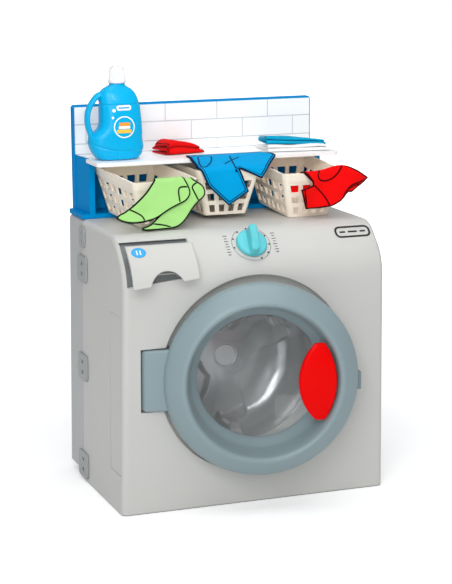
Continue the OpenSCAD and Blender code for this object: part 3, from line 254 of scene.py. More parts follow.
def moulded(name, colour, rough=0.42, mottle=0.05, grain_mm=0.9, depth=0.08, edge=0.0, spec=0.5, pearl=0.0):
    """Moulded plastic: slow cloudy colour, a fine tool grain in the bump and in the roughness.

    edge is the radius in millimetres by which moulded corners catch the light softly. pearl is the
    share of silver flakes in the plastic.
    """
    material, tree, out = blank(name)
    at = add(tree, "ShaderNodeTexCoord", -1000, 0).outputs["Object"]
    cloud = add(tree, "ShaderNodeTexNoise", -800, 200, {"Scale": 14.0, "Detail": 3.0, "Roughness": 0.55}, {"Vector": at})
    grain = add(tree, "ShaderNodeTexNoise", -800, -200, {"Scale": 1000 / grain_mm, "Detail": 2.0}, {"Vector": at})
    tint = add(tree, "ShaderNodeMix", -400, 200, {6: rgba(shade(colour, 1 - mottle)), 7: rgba(shade(colour, 1 + mottle))},
               {0: cloud.outputs["Fac"]}, data_type="RGBA")
    gloss = add(tree, "ShaderNodeMapRange", -400, -50, {"From Min": 0.3, "From Max": 0.7, "To Min": rough - 0.04,
                "To Max": rough + 0.06}, {"Value": grain.outputs["Fac"]})
    bump = add(tree, "ShaderNodeBump", -150, -250, {"Strength": 0.5, "Distance": depth / 1000}, {"Height": grain.outputs["Fac"]})
    if edge:
        soft = add(tree, "ShaderNodeBevel", -400, -450, {"Radius": edge / 1000}, samples=6)
        tree.links.new(soft.outputs["Normal"], bump.inputs["Normal"])
    skin = add(tree, "ShaderNodeBsdfPrincipled", 200, 0, {"Specular IOR Level": spec, "Metallic": pearl},
               {"Base Color": tint.outputs[2], "Roughness": gloss.outputs["Result"], "Normal": bump.outputs["Normal"]})
    tree.links.new(skin.outputs[0], out.inputs["Surface"])
    return material


def metal(name, colour, rough=0.3, brushed_mm=0.4):
    """Plated or ground steel: fine scratches along one axis spread the highlight."""
    material, tree, out = blank(name)
    at = add(tree, "ShaderNodeTexCoord", -1000, 0).outputs["Object"]
    stretch = add(tree, "ShaderNodeMapping", -800, 0, {"Scale": (1.0, 0.08, 1.0)}, {"Vector": at})
    lines = add(tree, "ShaderNodeTexNoise", -600, 0, {"Scale": 1000 / brushed_mm, "Detail": 2.0}, {"Vector": stretch.outputs[0]})
    tint = add(tree, "ShaderNodeMix", -300, 150, {6: rgba(shade(colour, 0.86)), 7: rgba(shade(colour, 1.08))},
               {0: lines.outputs["Fac"]}, data_type="RGBA")
    gloss = add(tree, "ShaderNodeMapRange", -300, -50, {"To Min": rough - 0.08, "To Max": rough + 0.12},
                {"Value": lines.outputs["Fac"]})
    bump = add(tree, "ShaderNodeBump", -100, -200, {"Strength": 0.3, "Distance": 0.00005}, {"Height": lines.outputs["Fac"]})
    skin = add(tree, "ShaderNodeBsdfPrincipled", 200, 0, {"Metallic": 1.0},
               {"Base Color": tint.outputs[2], "Roughness": gloss.outputs["Result"], "Normal": bump.outputs["Normal"]})
    tree.links.new(skin.outputs[0], out.inputs["Surface"])
    return material


def clear_window(name, colour):
    """Clear moulded acrylic: light passes straight through for shadows, faint haze in the roughness."""
    material, tree, out = blank(name)
    at = add(tree, "ShaderNodeTexCoord", -900, 0).outputs["Object"]
    haze = add(tree, "ShaderNodeTexNoise", -700, 0, {"Scale": 30.0, "Detail": 2.0}, {"Vector": at})
    gloss = add(tree, "ShaderNodeMapRange", -450, 0, {"To Min": 0.01, "To Max": 0.05}, {"Value": haze.outputs["Fac"]})
    bump = add(tree, "ShaderNodeBump", -250, -200, {"Strength": 0.03, "Distance": 0.0002}, {"Height": haze.outputs["Fac"]})
    skin = add(tree, "ShaderNodeBsdfPrincipled", 100, 0, {"Base Color": rgba(colour), "Transmission Weight": 1.0, "IOR": 1.49},
               {"Roughness": gloss.outputs["Result"], "Normal": bump.outputs["Normal"]})
    through = add(tree, "ShaderNodeBsdfTransparent", 100, -450, {"Color": (0.95, 0.96, 0.97, 1)})
    rays = add(tree, "ShaderNodeLightPath", 100, 350)
    thin = add(tree, "ShaderNodeMath", 300, 350, {1: 0.86}, {0: rays.outputs["Is Shadow Ray"]}, operation="MAXIMUM")
    both = add(tree, "ShaderNodeMixShader", 500, 0, None, {0: thin.outputs[0], 1: skin.outputs[0], 2: through.outputs[0]})
    tree.links.new(both.outputs[0], out.inputs["Surface"])
    return material


def felt(name, colour, line, fibre_mm=0.7, line_to=2.3):
    """Pressed felt with a printed line along the cut edge: tangled fibres in colour and bump.

    The line follows the attribute edge_mm, the distance from the cut edge in millimetres.
    """
    material, tree, out = blank(name)
    at = add(tree, "ShaderNodeTexCoord", -1300, 0).outputs["Object"]
    fibre = add(tree, "ShaderNodeTexNoise", -1100, 200, {"Scale": 1000 / fibre_mm, "Detail": 4.0, "Roughness": 0.7}, {"Vector": at})
    cloud = add(tree, "ShaderNodeTexNoise", -1100, -100, {"Scale": 60.0, "Detail": 2.0}, {"Vector": at})
    wool = add(tree, "ShaderNodeMix", -800, 250, {6: rgba(shade(colour, 0.84)), 7: rgba(shade(colour, 1.12))},
               {0: fibre.outputs["Fac"]}, data_type="RGBA")
    soft = add(tree, "ShaderNodeMix", -600, 250, {0: 0.3, 7: rgba(shade(colour, 0.9))}, {6: wool.outputs[2]}, data_type="RGBA")
    tree.links.new(cloud.outputs["Fac"], soft.inputs[0])
    edge = add(tree, "ShaderNodeAttribute", -1100, -400, attribute_name="edge_mm")
    band = add(tree, "ShaderNodeMapRange", -800, -400, {"From Min": line_to + 0.25, "From Max": line_to - 0.25},
               {"Value": edge.outputs["Fac"]})
    ink = add(tree, "ShaderNodeMix", -350, 100, {7: rgba(line)}, {0: band.outputs[0], 6: soft.outputs[2]}, data_type="RGBA")
    bump = add(tree, "ShaderNodeBump", -350, -200, {"Strength": 0.75, "Distance": 0.0005}, {"Height": fibre.outputs["Fac"]})
    gloss = add(tree, "ShaderNodeMapRange", -350, -50, {"To Min": 0.86, "To Max": 0.98}, {"Value": fibre.outputs["Fac"]})
    skin = add(tree, "ShaderNodeBsdfPrincipled", 200, 0, {"Sheen Weight": 0.03, "Sheen Roughness": 0.5, "Specular IOR Level": 0.06},
               {"Base Color": ink.outputs[2], "Roughness": gloss.outputs["Result"], "Normal": bump.outputs["Normal"]})
    tree.links.new(skin.outputs[0], out.inputs["Surface"])
    return material


def printed_tiles(name, colour, grout, blue):
    """Printed board: white tiles with grey grout where the grooves run, and a thin coloured top line.

    The rows start at the top edge and each row is shifted by half a tile.
    """
    material, tree, out = blank(name)
    at = add(tree, "ShaderNodeTexCoord", -1400, 0).outputs["Object"]
    split = add(tree, "ShaderNodeSeparateXYZ", -1200, 0, None, {0: at})
    top = (600.8 + FOOT) / 1000
    move = add(tree, "ShaderNodeCombineXYZ", -800, 0)
    across = add(tree, "ShaderNodeMath", -1000, 100, {1: 0.006 + 10 * 0.0895}, {0: split.outputs["X"]}, operation="ADD")
    down = add(tree, "ShaderNodeMath", -1000, -100, {0: top}, {1: split.outputs["Z"]}, operation="SUBTRACT")
    tree.links.new(across.outputs[0], move.inputs["X"])
    tree.links.new(down.outputs[0], move.inputs["Y"])
    brick = add(tree, "ShaderNodeTexBrick", -600, 0,
                {"Color1": rgba(colour), "Color2": rgba(shade(colour, 0.985)), "Mortar": rgba(grout), "Scale": 1.0,
                 "Mortar Size": 0.0011, "Mortar Smooth": 0.4, "Bias": 0.0, "Brick Width": 0.0895, "Row Height": 0.031},
                {"Vector": move.outputs[0]}, offset=0.5, offset_frequency=2)
    cloud = add(tree, "ShaderNodeTexNoise", -600, -400, {"Scale": 9.0, "Detail": 3.0}, {"Vector": at})
    tone = add(tree, "ShaderNodeMix", -350, 0, {0: 0.06, 7: rgba(grout)}, {6: brick.outputs["Color"]}, data_type="RGBA")
    gloss = add(tree, "ShaderNodeMapRange", -350, -200, {"To Min": 0.36, "To Max": 0.46}, {"Value": cloud.outputs["Fac"]})
    line = add(tree, "ShaderNodeMapRange", -600, -650, {"From Min": 0.0031, "From Max": 0.0027}, {"Value": down.outputs[0]})
    edge = add(tree, "ShaderNodeMix", -150, 0, {7: rgba(blue)}, {0: line.outputs[0], 6: tone.outputs[2]}, data_type="RGBA")
    bump = add(tree, "ShaderNodeBump", -150, -250, {"Strength": 0.25, "Distance": 0.0004}, {"Height": brick.outputs["Fac"]},
               invert=True)
    skin = add(tree, "ShaderNodeBsdfPrincipled", 200, 0, None,
               {"Base Color": edge.outputs[2], "Roughness": gloss.outputs["Result"], "Normal": bump.outputs["Normal"]})
    tree.links.new(skin.outputs[0], out.inputs["Surface"])
    return material


# ---------------------------------------------------------------- settings


def colour_setting(name, code, words):
    return FloatVectorProperty(name=name, description=words, default=linear(code), subtype="COLOR", min=0, max=1)


def length_setting(name, value, words):
    return FloatProperty(name=name, description=words, default=value, soft_min=0)


class FinishSettings(bpy.types.PropertyGroup):
    shell: colour_setting("Cabinet", "#c9c9c5", "Pale grey of the cabinet's front shell")
    rear: colour_setting("Rear shell", "#b9baba", "Grey of the cabinet's rear shell")
    clip: colour_setting("Clips", "#a2a4a5", "Grey of the snap clips")
    ring: colour_setting("Door ring", "#899ca1", "Blue-grey of the door's ring")
    handle: colour_setting("Door handle", "#ea0000", "Red of the door's handle")
    window: colour_setting("Window", "#f3f7f9", "Faint tint of the clear window")
    drum: colour_setting("Drum", "#bfbfbe", "Grey of the drum")
    knob: colour_setting("Knob", "#5fc6d0", "Turquoise of the cycle knob")
    housing: colour_setting("Housing", "#0088cb", "Blue of the shelf's housing")
    tile: colour_setting("Tiles", "#f3f4f4", "White of the printed tiles")
    grout: colour_setting("Grout", "#c6cbce", "Grey of the lines between the tiles")
    shelf: colour_setting("Shelf", "#fafafa", "White of the shelf")
    basket: colour_setting("Baskets", "#fbf0df", "Cream of the lattice baskets")
    bottle: colour_setting("Bottle", "#00abdf", "Blue of the bottle")
    cap: colour_setting("Cap", "#e6e8ea", "White of the bottle's cap")
    ink: colour_setting("Ink", "#131517", "Dark grey of the printed marks")


class DoorSettings(bpy.types.PropertyGroup):
    ring_outer: length_setting("Ring radius", 150.0, "Outer radius of the ring, in millimetres")
    ridge: length_setting("Ridge", 36.5, "How far the ridge stands in front, in millimetres")
    window: length_setting("Window radius", 96.0, "Visible radius of the window, in millimetres")
    bowl: length_setting("Bowl depth", 22.0, "Depth of the bowl window, in millimetres")


class DrumSettings(bpy.types.PropertyGroup):
    inner: length_setting("Inner radius", 124.0, "Inner radius of the drum, in millimetres")
    spider: length_setting("Spider height", 14.5, "How far the three-armed spider stands out, in millimetres")
    paddle: length_setting("Paddle height", 26.0, "How far a paddle stands in from the wall, in millimetres")
    steps: IntProperty(name="Steps", description="Points round the drum", default=300, min=96, max=600)


class ClothSettings(bpy.types.PropertyGroup):
    thick: length_setting("Felt thickness", 1.9, "Thickness of the felt, in millimetres")
    sway: length_setting("Fold height", 2.6, "Height of the soft folds, in millimetres")
    green: colour_setting("Socks", "#abe388", "Green of the felt socks")
    blue: colour_setting("Shorts", "#009fdc", "Blue of the felt shorts")
    red: colour_setting("Shirt", "#f20c0c", "Red of the felt shirt")
    white: colour_setting("White cloth", "#f9f9f8", "White of the folded cloth")
    line: colour_setting("Green's line", "#142016", "Printed line on the socks")
    navy: colour_setting("Blue's line", "#081a3e", "Printed line on the shorts")
    wine: colour_setting("Red's line", "#470506", "Printed line on the shirt")


SETTINGS = {"toy_finish": FinishSettings, "toy_door": DoorSettings, "toy_drum": DrumSettings, "toy_cloth": ClothSettings}
MADE = {}


def finish_of(key):
    """Each material is made once, from what the real piece is."""
    if key in MADE:
        return MADE[key]
    f, c = bpy.context.scene.toy_finish, bpy.context.scene.toy_cloth
    makers = {
        # Blow-moulded polyethylene: satin, slightly waxy, with a faint leathery grain
        "cabinet": lambda: moulded("satin_polyethylene_pale", f.shell, 0.40, 0.02, 1.1, 0.10, edge=2.2),
        "rear": lambda: moulded("satin_polyethylene_rear", f.rear, 0.44, 0.02, 1.1, 0.10, edge=2.2),
        "clip": lambda: moulded("satin_clip_plastic", f.clip, 0.38, 0.03, 0.9, 0.06, edge=0.8),
        # Injection-moulded ABS of the ring: even, a little glossier
        "ring": lambda: moulded("blue_grey_abs", f.ring, 0.36, 0.03, 0.8, 0.05),
        # The door's back frame and the latch take the ring's blue-grey darkened to 0.85 and 0.7: painted shade on them
        "ring_back": lambda: moulded("blue_grey_abs_painted_shade", shade(f.ring, 0.85), 0.4, 0.03, 0.8, 0.05, edge=0.8),
        "latch": lambda: moulded("latch_abs_painted_shade", shade(f.ring, 0.7), 0.42, 0.03, 0.8, 0.05, edge=0.8),
        "handle": lambda: moulded("polished_red_abs", f.handle, 0.28, 0.02, 1.2, 0.02, spec=0.08),
        "window": lambda: clear_window("clear_acrylic", f.window),
        # Drum: moulded polystyrene with a wet-looking gloss
        "drum": lambda: moulded("glossy_grey_polystyrene", f.drum, 0.16, 0.05, 1.2, 0.015, spec=0.9, pearl=0.4),
        "hub": lambda: moulded("satin_hub_cap", shade(f.drum, 1.3), 0.3, 0.03, 1.0, 0.04, edge=0.6),
        "knob": lambda: moulded("turquoise_abs", f.knob, 0.30, 0.03, 1.0, 0.04, spec=0.3),
        "housing": lambda: moulded("blue_injection_panel", f.housing, 0.36, 0.03, 0.9, 0.05, edge=1.2, spec=0.02),
        "tile": lambda: printed_tiles("printed_tile_board", f.tile, f.grout, linear("#1a9cc9")),
        "shelf": lambda: moulded("white_shelf_plastic", f.shelf, 0.34, 0.01, 0.9, 0.04, edge=1.2),
        "basket": lambda: moulded("cream_basket_plastic", f.basket, 0.40, 0.02, 0.9, 0.05, edge=0.7, spec=0.3),
        "bottle": lambda: moulded("blown_blue_bottle", f.bottle, 0.24, 0.03, 1.4, 0.05, spec=0.2),
        "cap": lambda: moulded("white_ribbed_cap", f.cap, 0.34, 0.01, 0.9, 0.04),
        "dark": lambda: moulded("black_inner_plastic", linear("#45494d"), 0.5, 0.05, 0.9, 0.08, edge=0.5),
        "sleeve": lambda: moulded("grey_sleeve_plastic", linear("#74787a"), 0.5, 0.04, 0.9, 0.08, edge=0.8),
        "bush": lambda: moulded("acetal_bush", linear("#d9c9a3"), 0.35, 0.03, 0.8, 0.03),
        "board": lambda: moulded("green_circuit_board", linear("#2f7a4d"), 0.35, 0.06, 0.6, 0.05),
        "battery": lambda: moulded("sleeved_battery", linear("#3f6f9e"), 0.28, 0.05, 0.9, 0.02),
        "steel": lambda: metal("zinc_plated_steel", linear("#b9bdc0"), 0.34),
        "ink": lambda: moulded("printed_ink", f.ink, 0.5, 0.05, 0.6, 0.01),
        "label": lambda: moulded("printed_label_film", linear("#f6f7f8"), 0.35, 0.01, 0.8, 0.01),
        "mark_blue": lambda: moulded("printed_blue_mark", linear("#18a5e8"), 0.4, 0.03, 0.8, 0.01),
        "label_orange": lambda: moulded("printed_orange_stripe", linear("#f39a2d"), 0.4, 0.03, 0.8, 0.01),
        "label_yellow": lambda: moulded("printed_yellow_stripe", linear("#f6c243"), 0.4, 0.03, 0.8, 0.01),
        "felt_green": lambda: felt("green_pressed_felt", c.green, c.line),
        "felt_blue": lambda: felt("blue_pressed_felt", c.blue, c.navy),
        "felt_red": lambda: felt("red_pressed_felt", c.red, c.wine),
        "felt_white": lambda: felt("white_pressed_felt", c.white, shade(c.white, 0.8), line_to=-9),
        "felt_teal": lambda: felt("sky_blue_folded_felt", linear("#0ba2cb"), c.navy, line_to=-9),
        "felt_scarlet": lambda: felt("scarlet_folded_felt", linear("#e41010"), c.wine, line_to=0.8),
    }
    MADE[key] = makers[key]()
    return MADE[key]


# ---------------------------------------------------------------- pieces


class TOYWASHER_OT_carried(bpy.types.Operator):
    """Gives each solid that stays as it is the finish of its real plastic or metal, with painted shade on the door's
    back frame and latch
    """

    bl_idname = "toywasher.carried"
    bl_label = "Finish the carried solids"

    def execute(self, context):
        plan = {
            "cabinet": ["front_shell", "detergent_drawer"],
            "rear": ["rear_shell", "battery_door"],
            "clip": ["snap_clips", "floor_glides"],
            "ring_back": ["door_frame_back"],
            "latch": ["door_latch_tab", "latch_catch"],
            "steel": ["door_screws", "door_hinge_pin", "drum_axle", "drum_screw", "axle_clip", "support_screws",
                      "knob_spindle", "battery_contacts", "battery_door_screw", "shelf_screws"],
            "hub": ["drum_hub_cap"],
            "bush": ["drum_bush"],
            "dark": ["drum_support", "sound_case", "speaker", "battery_box", "rotary_switch"],
            "board": ["circuit_board"],
            "battery": ["batteries"],
            "sleeve": ["drawer_sleeve"],
            "housing": ["blue_housing"],
            "tile": ["tile_panel"],
            "shelf": ["shelf"],
            "basket": ["basket_left", "basket_middle", "basket_right"],
        }
        for key, nodes in plan.items():
            for node in nodes:
                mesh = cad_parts[node].data
                mesh.materials.clear()
                mesh.materials.append(finish_of(key))
        return {"FINISHED"}


class TOYWASHER_OT_door(bpy.types.Operator):
    """Builds the door's ring, hinge arm, window and handle"""

    bl_idname = "toywasher.door"
    bl_label = "Build the door"

    def execute(self, context):
        s = context.scene.toy_door
        R, ridge, w = s.ring_outer, s.ridge, s.window
        # Front of the ring: a full, softly crowned band, a rounded ridge and an inner cone
        front = rounded_path([[R, 3], [R, 12], [R - 3, 18.5], [R - 12, 27], [R - 21, ridge - 2.6], [R - 26, ridge + 0.4],
                              [R - 30, ridge + 0.2], [R - 34, ridge - 4], [w + 14, 7], [w + 10.5, 0], [w + 1.0, -11.5],
                              [w, -15]], 3)
        back = [[w + 3.5, -17], [w + 13.5, 1], [R - 34.5, ridge - 6.5], [R - 28, ridge - 4], [R - 23, ridge - 6.5],
                [R - 5.4, 14], [R - 3, 10], [R - 3, 3]]
        profile = np.concatenate([front, rounded_path(back, 1)])
        # The hinge arm runs into the ring and ends in its hollow
        outline = rounded_box_outline(50.3, 95.0, 7) + [-159.15, 209.0]

        def barrel(x, h, z):
            """Left of the pin the arm's face rounds off inside the barrel that turns on the pin."""
            reach = np.clip(PIN[0] - x, 0, 12.5)
            return on_front(x, h, np.minimum(z - 3, np.sqrt(12.6**2 - reach**2) - PIN[1]))

        arm = cushion_form(outline, edge_round(10.6 + 3, 3.5, 0.5), barrel)
        piece("door_ring", [(swung(turned(profile)), True, True), (swung(arm), False, True)], "door", finish_of("ring"),
              ["door_frame_front"])

        bowl_edge = w - 1
        radius = (bowl_edge**2 + s.bowl**2) / (2 * s.bowl)
        half = math.asin(bowl_edge / radius)
        a = np.linspace(half, 0, 26)
        outer = np.stack([radius * np.sin(a), radius - s.bowl - 19.3 - radius * np.cos(a)], axis=1)
        inner_r = radius - 2.0
        b = np.linspace(0, half, 26)
        inner = np.stack([inner_r * np.sin(b), radius - s.bowl - 19.3 - inner_r * np.cos(b)], axis=1)
        rim = [[bowl_edge, -17.4], [w + 4, -17.4], [w + 5, -17.9], [w + 5, -18.7], [w + 4, -19.2]]
        window = np.concatenate([[[0, inner[0, 1]]], inner[1:], rim, outer, [[0, outer[-1, 1]]]])
        # Front of the bowl first, round the flange, then the back of the bowl
        piece("door_bowl_window", [(swung(turned(window, 160)), False, True)], "door", finish_of("window"), ["door_window"])

        # Almond handle: where two arcs overlap, cut level at both ends, with a crowned face
        gx, gh, tall = 85.5, 203.0, 119.0
        y = np.linspace(-tall / 2, tall / 2, 60)
        inner_c, outer_c = -7 + math.sqrt(81**2 - (tall / 2) ** 2), 7 - math.sqrt(108**2 - (tall / 2) ** 2)
        right = np.stack([outer_c + np.sqrt(108**2 - y**2), y], axis=1)
        left_side = np.stack([inner_c - np.sqrt(81**2 - y**2), y], axis=1)[::-1]
        almond = even_path(rounded_path(np.concatenate([right, left_side]), 2, closed=True), 160, closed=True)

        def crowned(x, yy, z):
            """The face falls away as a sphere of 300 mm does."""
            fall = (x**2 + yy**2) / 600.0 * smooth_step(z, 6, 13)
            return on_front(gx + x, gh + yy, 24.0 + z - fall)

        face = cushion_form(almond, edge_round(13.2, 3.6, 1.0, 8), crowned)
        foot_line = even_path(rounded_path([[9, -38], [14.5, -33], [21.4, 0], [14.5, 33], [9, 38]], 3, closed=True), 60, closed=True)
        foot = cushion_form(foot_line, [[0.0, -23.0], [0.0, 1.0]], lambda x, yy, z: on_front(gx + x, gh + yy, 24.5 + z))
        piece("door_handle_almond", [(swung(face), False, True), (swung(foot), False, True)], "door", finish_of("handle"), ["door_handle"])
        return {"FINISHED"}


class TOYWASHER_OT_drum(bpy.types.Operator):
    """Builds the drum with its three-armed spider and paddles as one moulded surface"""

    bl_idname = "toywasher.drum"
    bl_label = "Build the drum"

    def execute(self, context):
        s = context.scene.toy_drum
        R, corner = s.inner, 38.0
        back = -144.0
        a = np.linspace(-math.pi / 2, 0, 34)
        profile = np.concatenate([
            np.stack([np.linspace(0, R - corner, 90), np.full(90, back)], axis=1),
            np.stack([R - corner + corner * np.cos(a), back + corner + corner * np.sin(a)], axis=1)[1:],
            np.stack([np.full(60, R), np.linspace(back + corner, -54, 61)[1:]], axis=1),
        ])
        step = np.diff(profile, axis=0)
        length = np.concatenate([[0], np.cumsum(np.linalg.norm(step, axis=1))])
        tangent = np.gradient(profile, length, axis=0)
        tangent /= np.linalg.norm(tangent, axis=1)[:, None]
        normal = np.stack([-tangent[:, 1], tangent[:, 0]], axis=1)
        angle = np.linspace(0, 2 * math.pi, s.steps, endpoint=False)
        r, f = profile[:, :1], profile[:, 1:]
        lift = self.relief(s, length[:, None], r, f, angle[None], R, corner, back)
        rr = np.maximum(r + normal[:, :1] * lift, 0)
        ff = f + normal[:, 1:] * lift
        x, h = DOOR_X + rr * np.cos(angle), DOOR_H + rr * np.sin(angle)
        inside = np.stack([x, -ff, h], axis=-1)
        shell = turned([[R, -54], [R - 1.5, -50.5], [R + 1.5, -49.3], [R + 3, -52], [R + 3, -121], [R - 4, -140],
                        [R - 22, -147], [16, -147], [16, -167], [0, -167]], s.steps)
        piece("drum_moulding", [(np.concatenate([inside, shell[1:]]), False, True)], "drum_assembly", finish_of("drum"),
              ["drum"])
        return {"FINISHED"}

    @staticmethod
    def relief(s, length, r, f, angle, R, corner, back):
        """Height above the drum's skin: a hub disc with three arms that widen outwards and end on the corner,
        and on each arm a finger-shaped paddle that starts with a round nose and sinks towards the front."""
        total = (1 - smooth_step(r + 0 * angle, 40, 46)) * s.spider
        flat_end = R - corner
        corner_end = flat_end + corner * math.pi / 2
        wall = np.clip((length - corner_end) / 58.0, 0, 1)
        for degrees, wide in ((33, 1.0), (153, 1.0), (267, 0.95)):
            turn = np.angle(np.exp(1j * (angle - math.radians(degrees))))
            side, reach = np.abs(r * np.sin(turn)), r * np.cos(turn)
            # A waist near the hub, and a shoulder further out
            half = wide * (21 + 0.16 * np.clip(reach, 0, 200)) + 6 * smooth_step(reach, 52, 78)
            arm = (1 - smooth_step(side, half - 2.0, half + 3.5)) * (reach > 0) * (1 - smooth_step(length, flat_end + 12, flat_end + 34))
            nose = np.clip((flat_end + 18 - length) / 16.0, 0, 9)
            finger = 1 - smooth_step(np.sqrt(nose**2 + (side / 14.0) ** 2), 0.70, 1.15)
            finger = finger * (reach > 0) * s.paddle * (1 - smooth_step(wall, 0.45, 1.0))
            total = np.maximum(total, np.maximum(arm * s.spider, finger))
        # A joint line round the hub cap, and a shallow stiffening bead round the wall
        joint = 1.6 * np.exp(-(((r - 17.6) / 0.9) ** 2))
        bead = 1.2 * np.exp(-(((f + 66) / 2.6) ** 2))
        return total - joint + bead * (length > corner_end)


class TOYWASHER_OT_knob(bpy.types.Operator):
    """Builds the cycle knob with its grip bar, and the printed dial round it"""

    bl_idname = "toywasher.knob"
    bl_label = "Build the knob and dial"

    def execute(self, context):
        a = np.linspace(0, 2 * math.pi, 120, endpoint=False)
        circle = np.stack([np.cos(a), np.sin(a)], axis=1)
        disc = cushion_form(circle * 24.5, [[1.2, 0.6], [0.2, 0.9], [0, 2.0], [0.3, 4.6], [1.0, 6.2], [2.4, 7.3], [4.2, 7.9], [7, 8.2]],
                            on_panel)
        turn = math.radians(-7)
        rot = np.array([[math.cos(turn), math.sin(turn)], [-math.sin(turn), math.cos(turn)]])
        bar_line = rounded_box_outline(14.5, 48.0, 6.6, 16) @ rot

        def wedge(x, y, z):
            """The bar is highest a little above its middle and slopes down to both ends."""
            local = (np.stack([x, y], axis=-1) @ rot.T)[..., 1]
            fall = 5.5 * smooth_step(-local, 2, 26) + 2.0 * smooth_step(local, 8, 26)
            return on_panel(x, y, 7.0 + (z - 7.0) * (17.2 - fall) / 17.2)

        bar = cushion_form(bar_line, np.concatenate([[[-0.8, 6.2], [-0.3, 8.5], [0.2, 12.0]],
                                                      edge_round(24.2, 3.4, 0, 7)[1:] + [0.6, 0.0]]), wedge)
        stem = cushion_form(circle * 6.0, [[0, -6.5], [0, 2.0]], on_panel)
        piece("cycle_knob", [(disc, False, True), (bar, False, True), (stem, False, True)], "knob", finish_of("knob"),
              ["control_knob"])
        self.dial()
        return {"FINISHED"}

    @staticmethod
    def dial():
        """Plain dots and numbers on the panel: thin printed discs, 0.15 mm proud of it."""
        a = np.linspace(0, 2 * math.pi, 20, endpoint=False)
        circle = np.stack([np.cos(a), np.sin(a)], axis=1)
        grids = []
        for k in range(9):
            angle = math.radians(-20 - 32.5 * k)
            cx, cy = 29 * math.sin(angle + math.pi), 29 * math.cos(angle + math.pi)
            grids.append((cushion_form(circle * 1.5, [[0, 0.02], [0, 0.16]],
                                       lambda x, y, z, cx=cx, cy=cy: on_panel(x + cx, y + cy, z)), False, True))
        ring = np.linspace(math.radians(-52), math.radians(232), 90)
        for inner, outer in ((30.6, 31.2),):
            arc = np.concatenate([np.stack([inner * np.cos(ring), inner * np.sin(ring)], axis=1),
                                  np.stack([outer * np.cos(ring[::-1]), outer * np.sin(ring[::-1])], axis=1)])
            for flip in (-1,):
                p = arc * [1, flip]
                lo, hi = p[: len(ring)], p[len(ring):][::-1]
                band = np.stack([lo, hi], axis=1)
                z = np.full(band.shape[:2], 0.14)
                grids.append((on_panel(band[..., 0], band[..., 1], z), False, False))
        # Short strokes in two columns, as a plain scale
        stroke = rounded_box_outline(7.0, 1.1, 0.5, 4)
        for side in (-1, 1):
            for k in range(8):
                cx, cy = side * 39.0, -17.5 + 5.0 * k
                grids.append((cushion_form(stroke * [1.0 if k % 2 else 0.65, 1.0], [[0, 0.02], [0, 0.16]],
                                           lambda x, y, z, cx=cx, cy=cy: on_panel(x + cx, y + cy, z)), False, True))
        # Plain framed plate to the right: an outline and three bars
        frame_line = rounded_box_outline(60.0, 22.0, 9.0, 14)
        inner_line = rounded_box_outline(53.0, 15.0, 5.6, 14)
        z = np.full((len(frame_line), 2), 0.16)
        both = np.stack([frame_line, inner_line], axis=1)
        grids.append((on_panel(both[..., 0] + 172.5, both[..., 1] + 10.0, z), True, False))
        for k, wide in enumerate((10, 16, 10)):
            bar = rounded_box_outline(wide, 3.2, 1.5, 5)
            grids.append((cushion_form(bar, [[0, 0.02], [0, 0.16]],
                                       lambda x, y, z, k=k: on_panel(x + 172.5 + (k - 1) * 17, y + 10.0, z)), False, True))
        piece("printed_dial_marks", grids, "cabinet", finish_of("ink"))


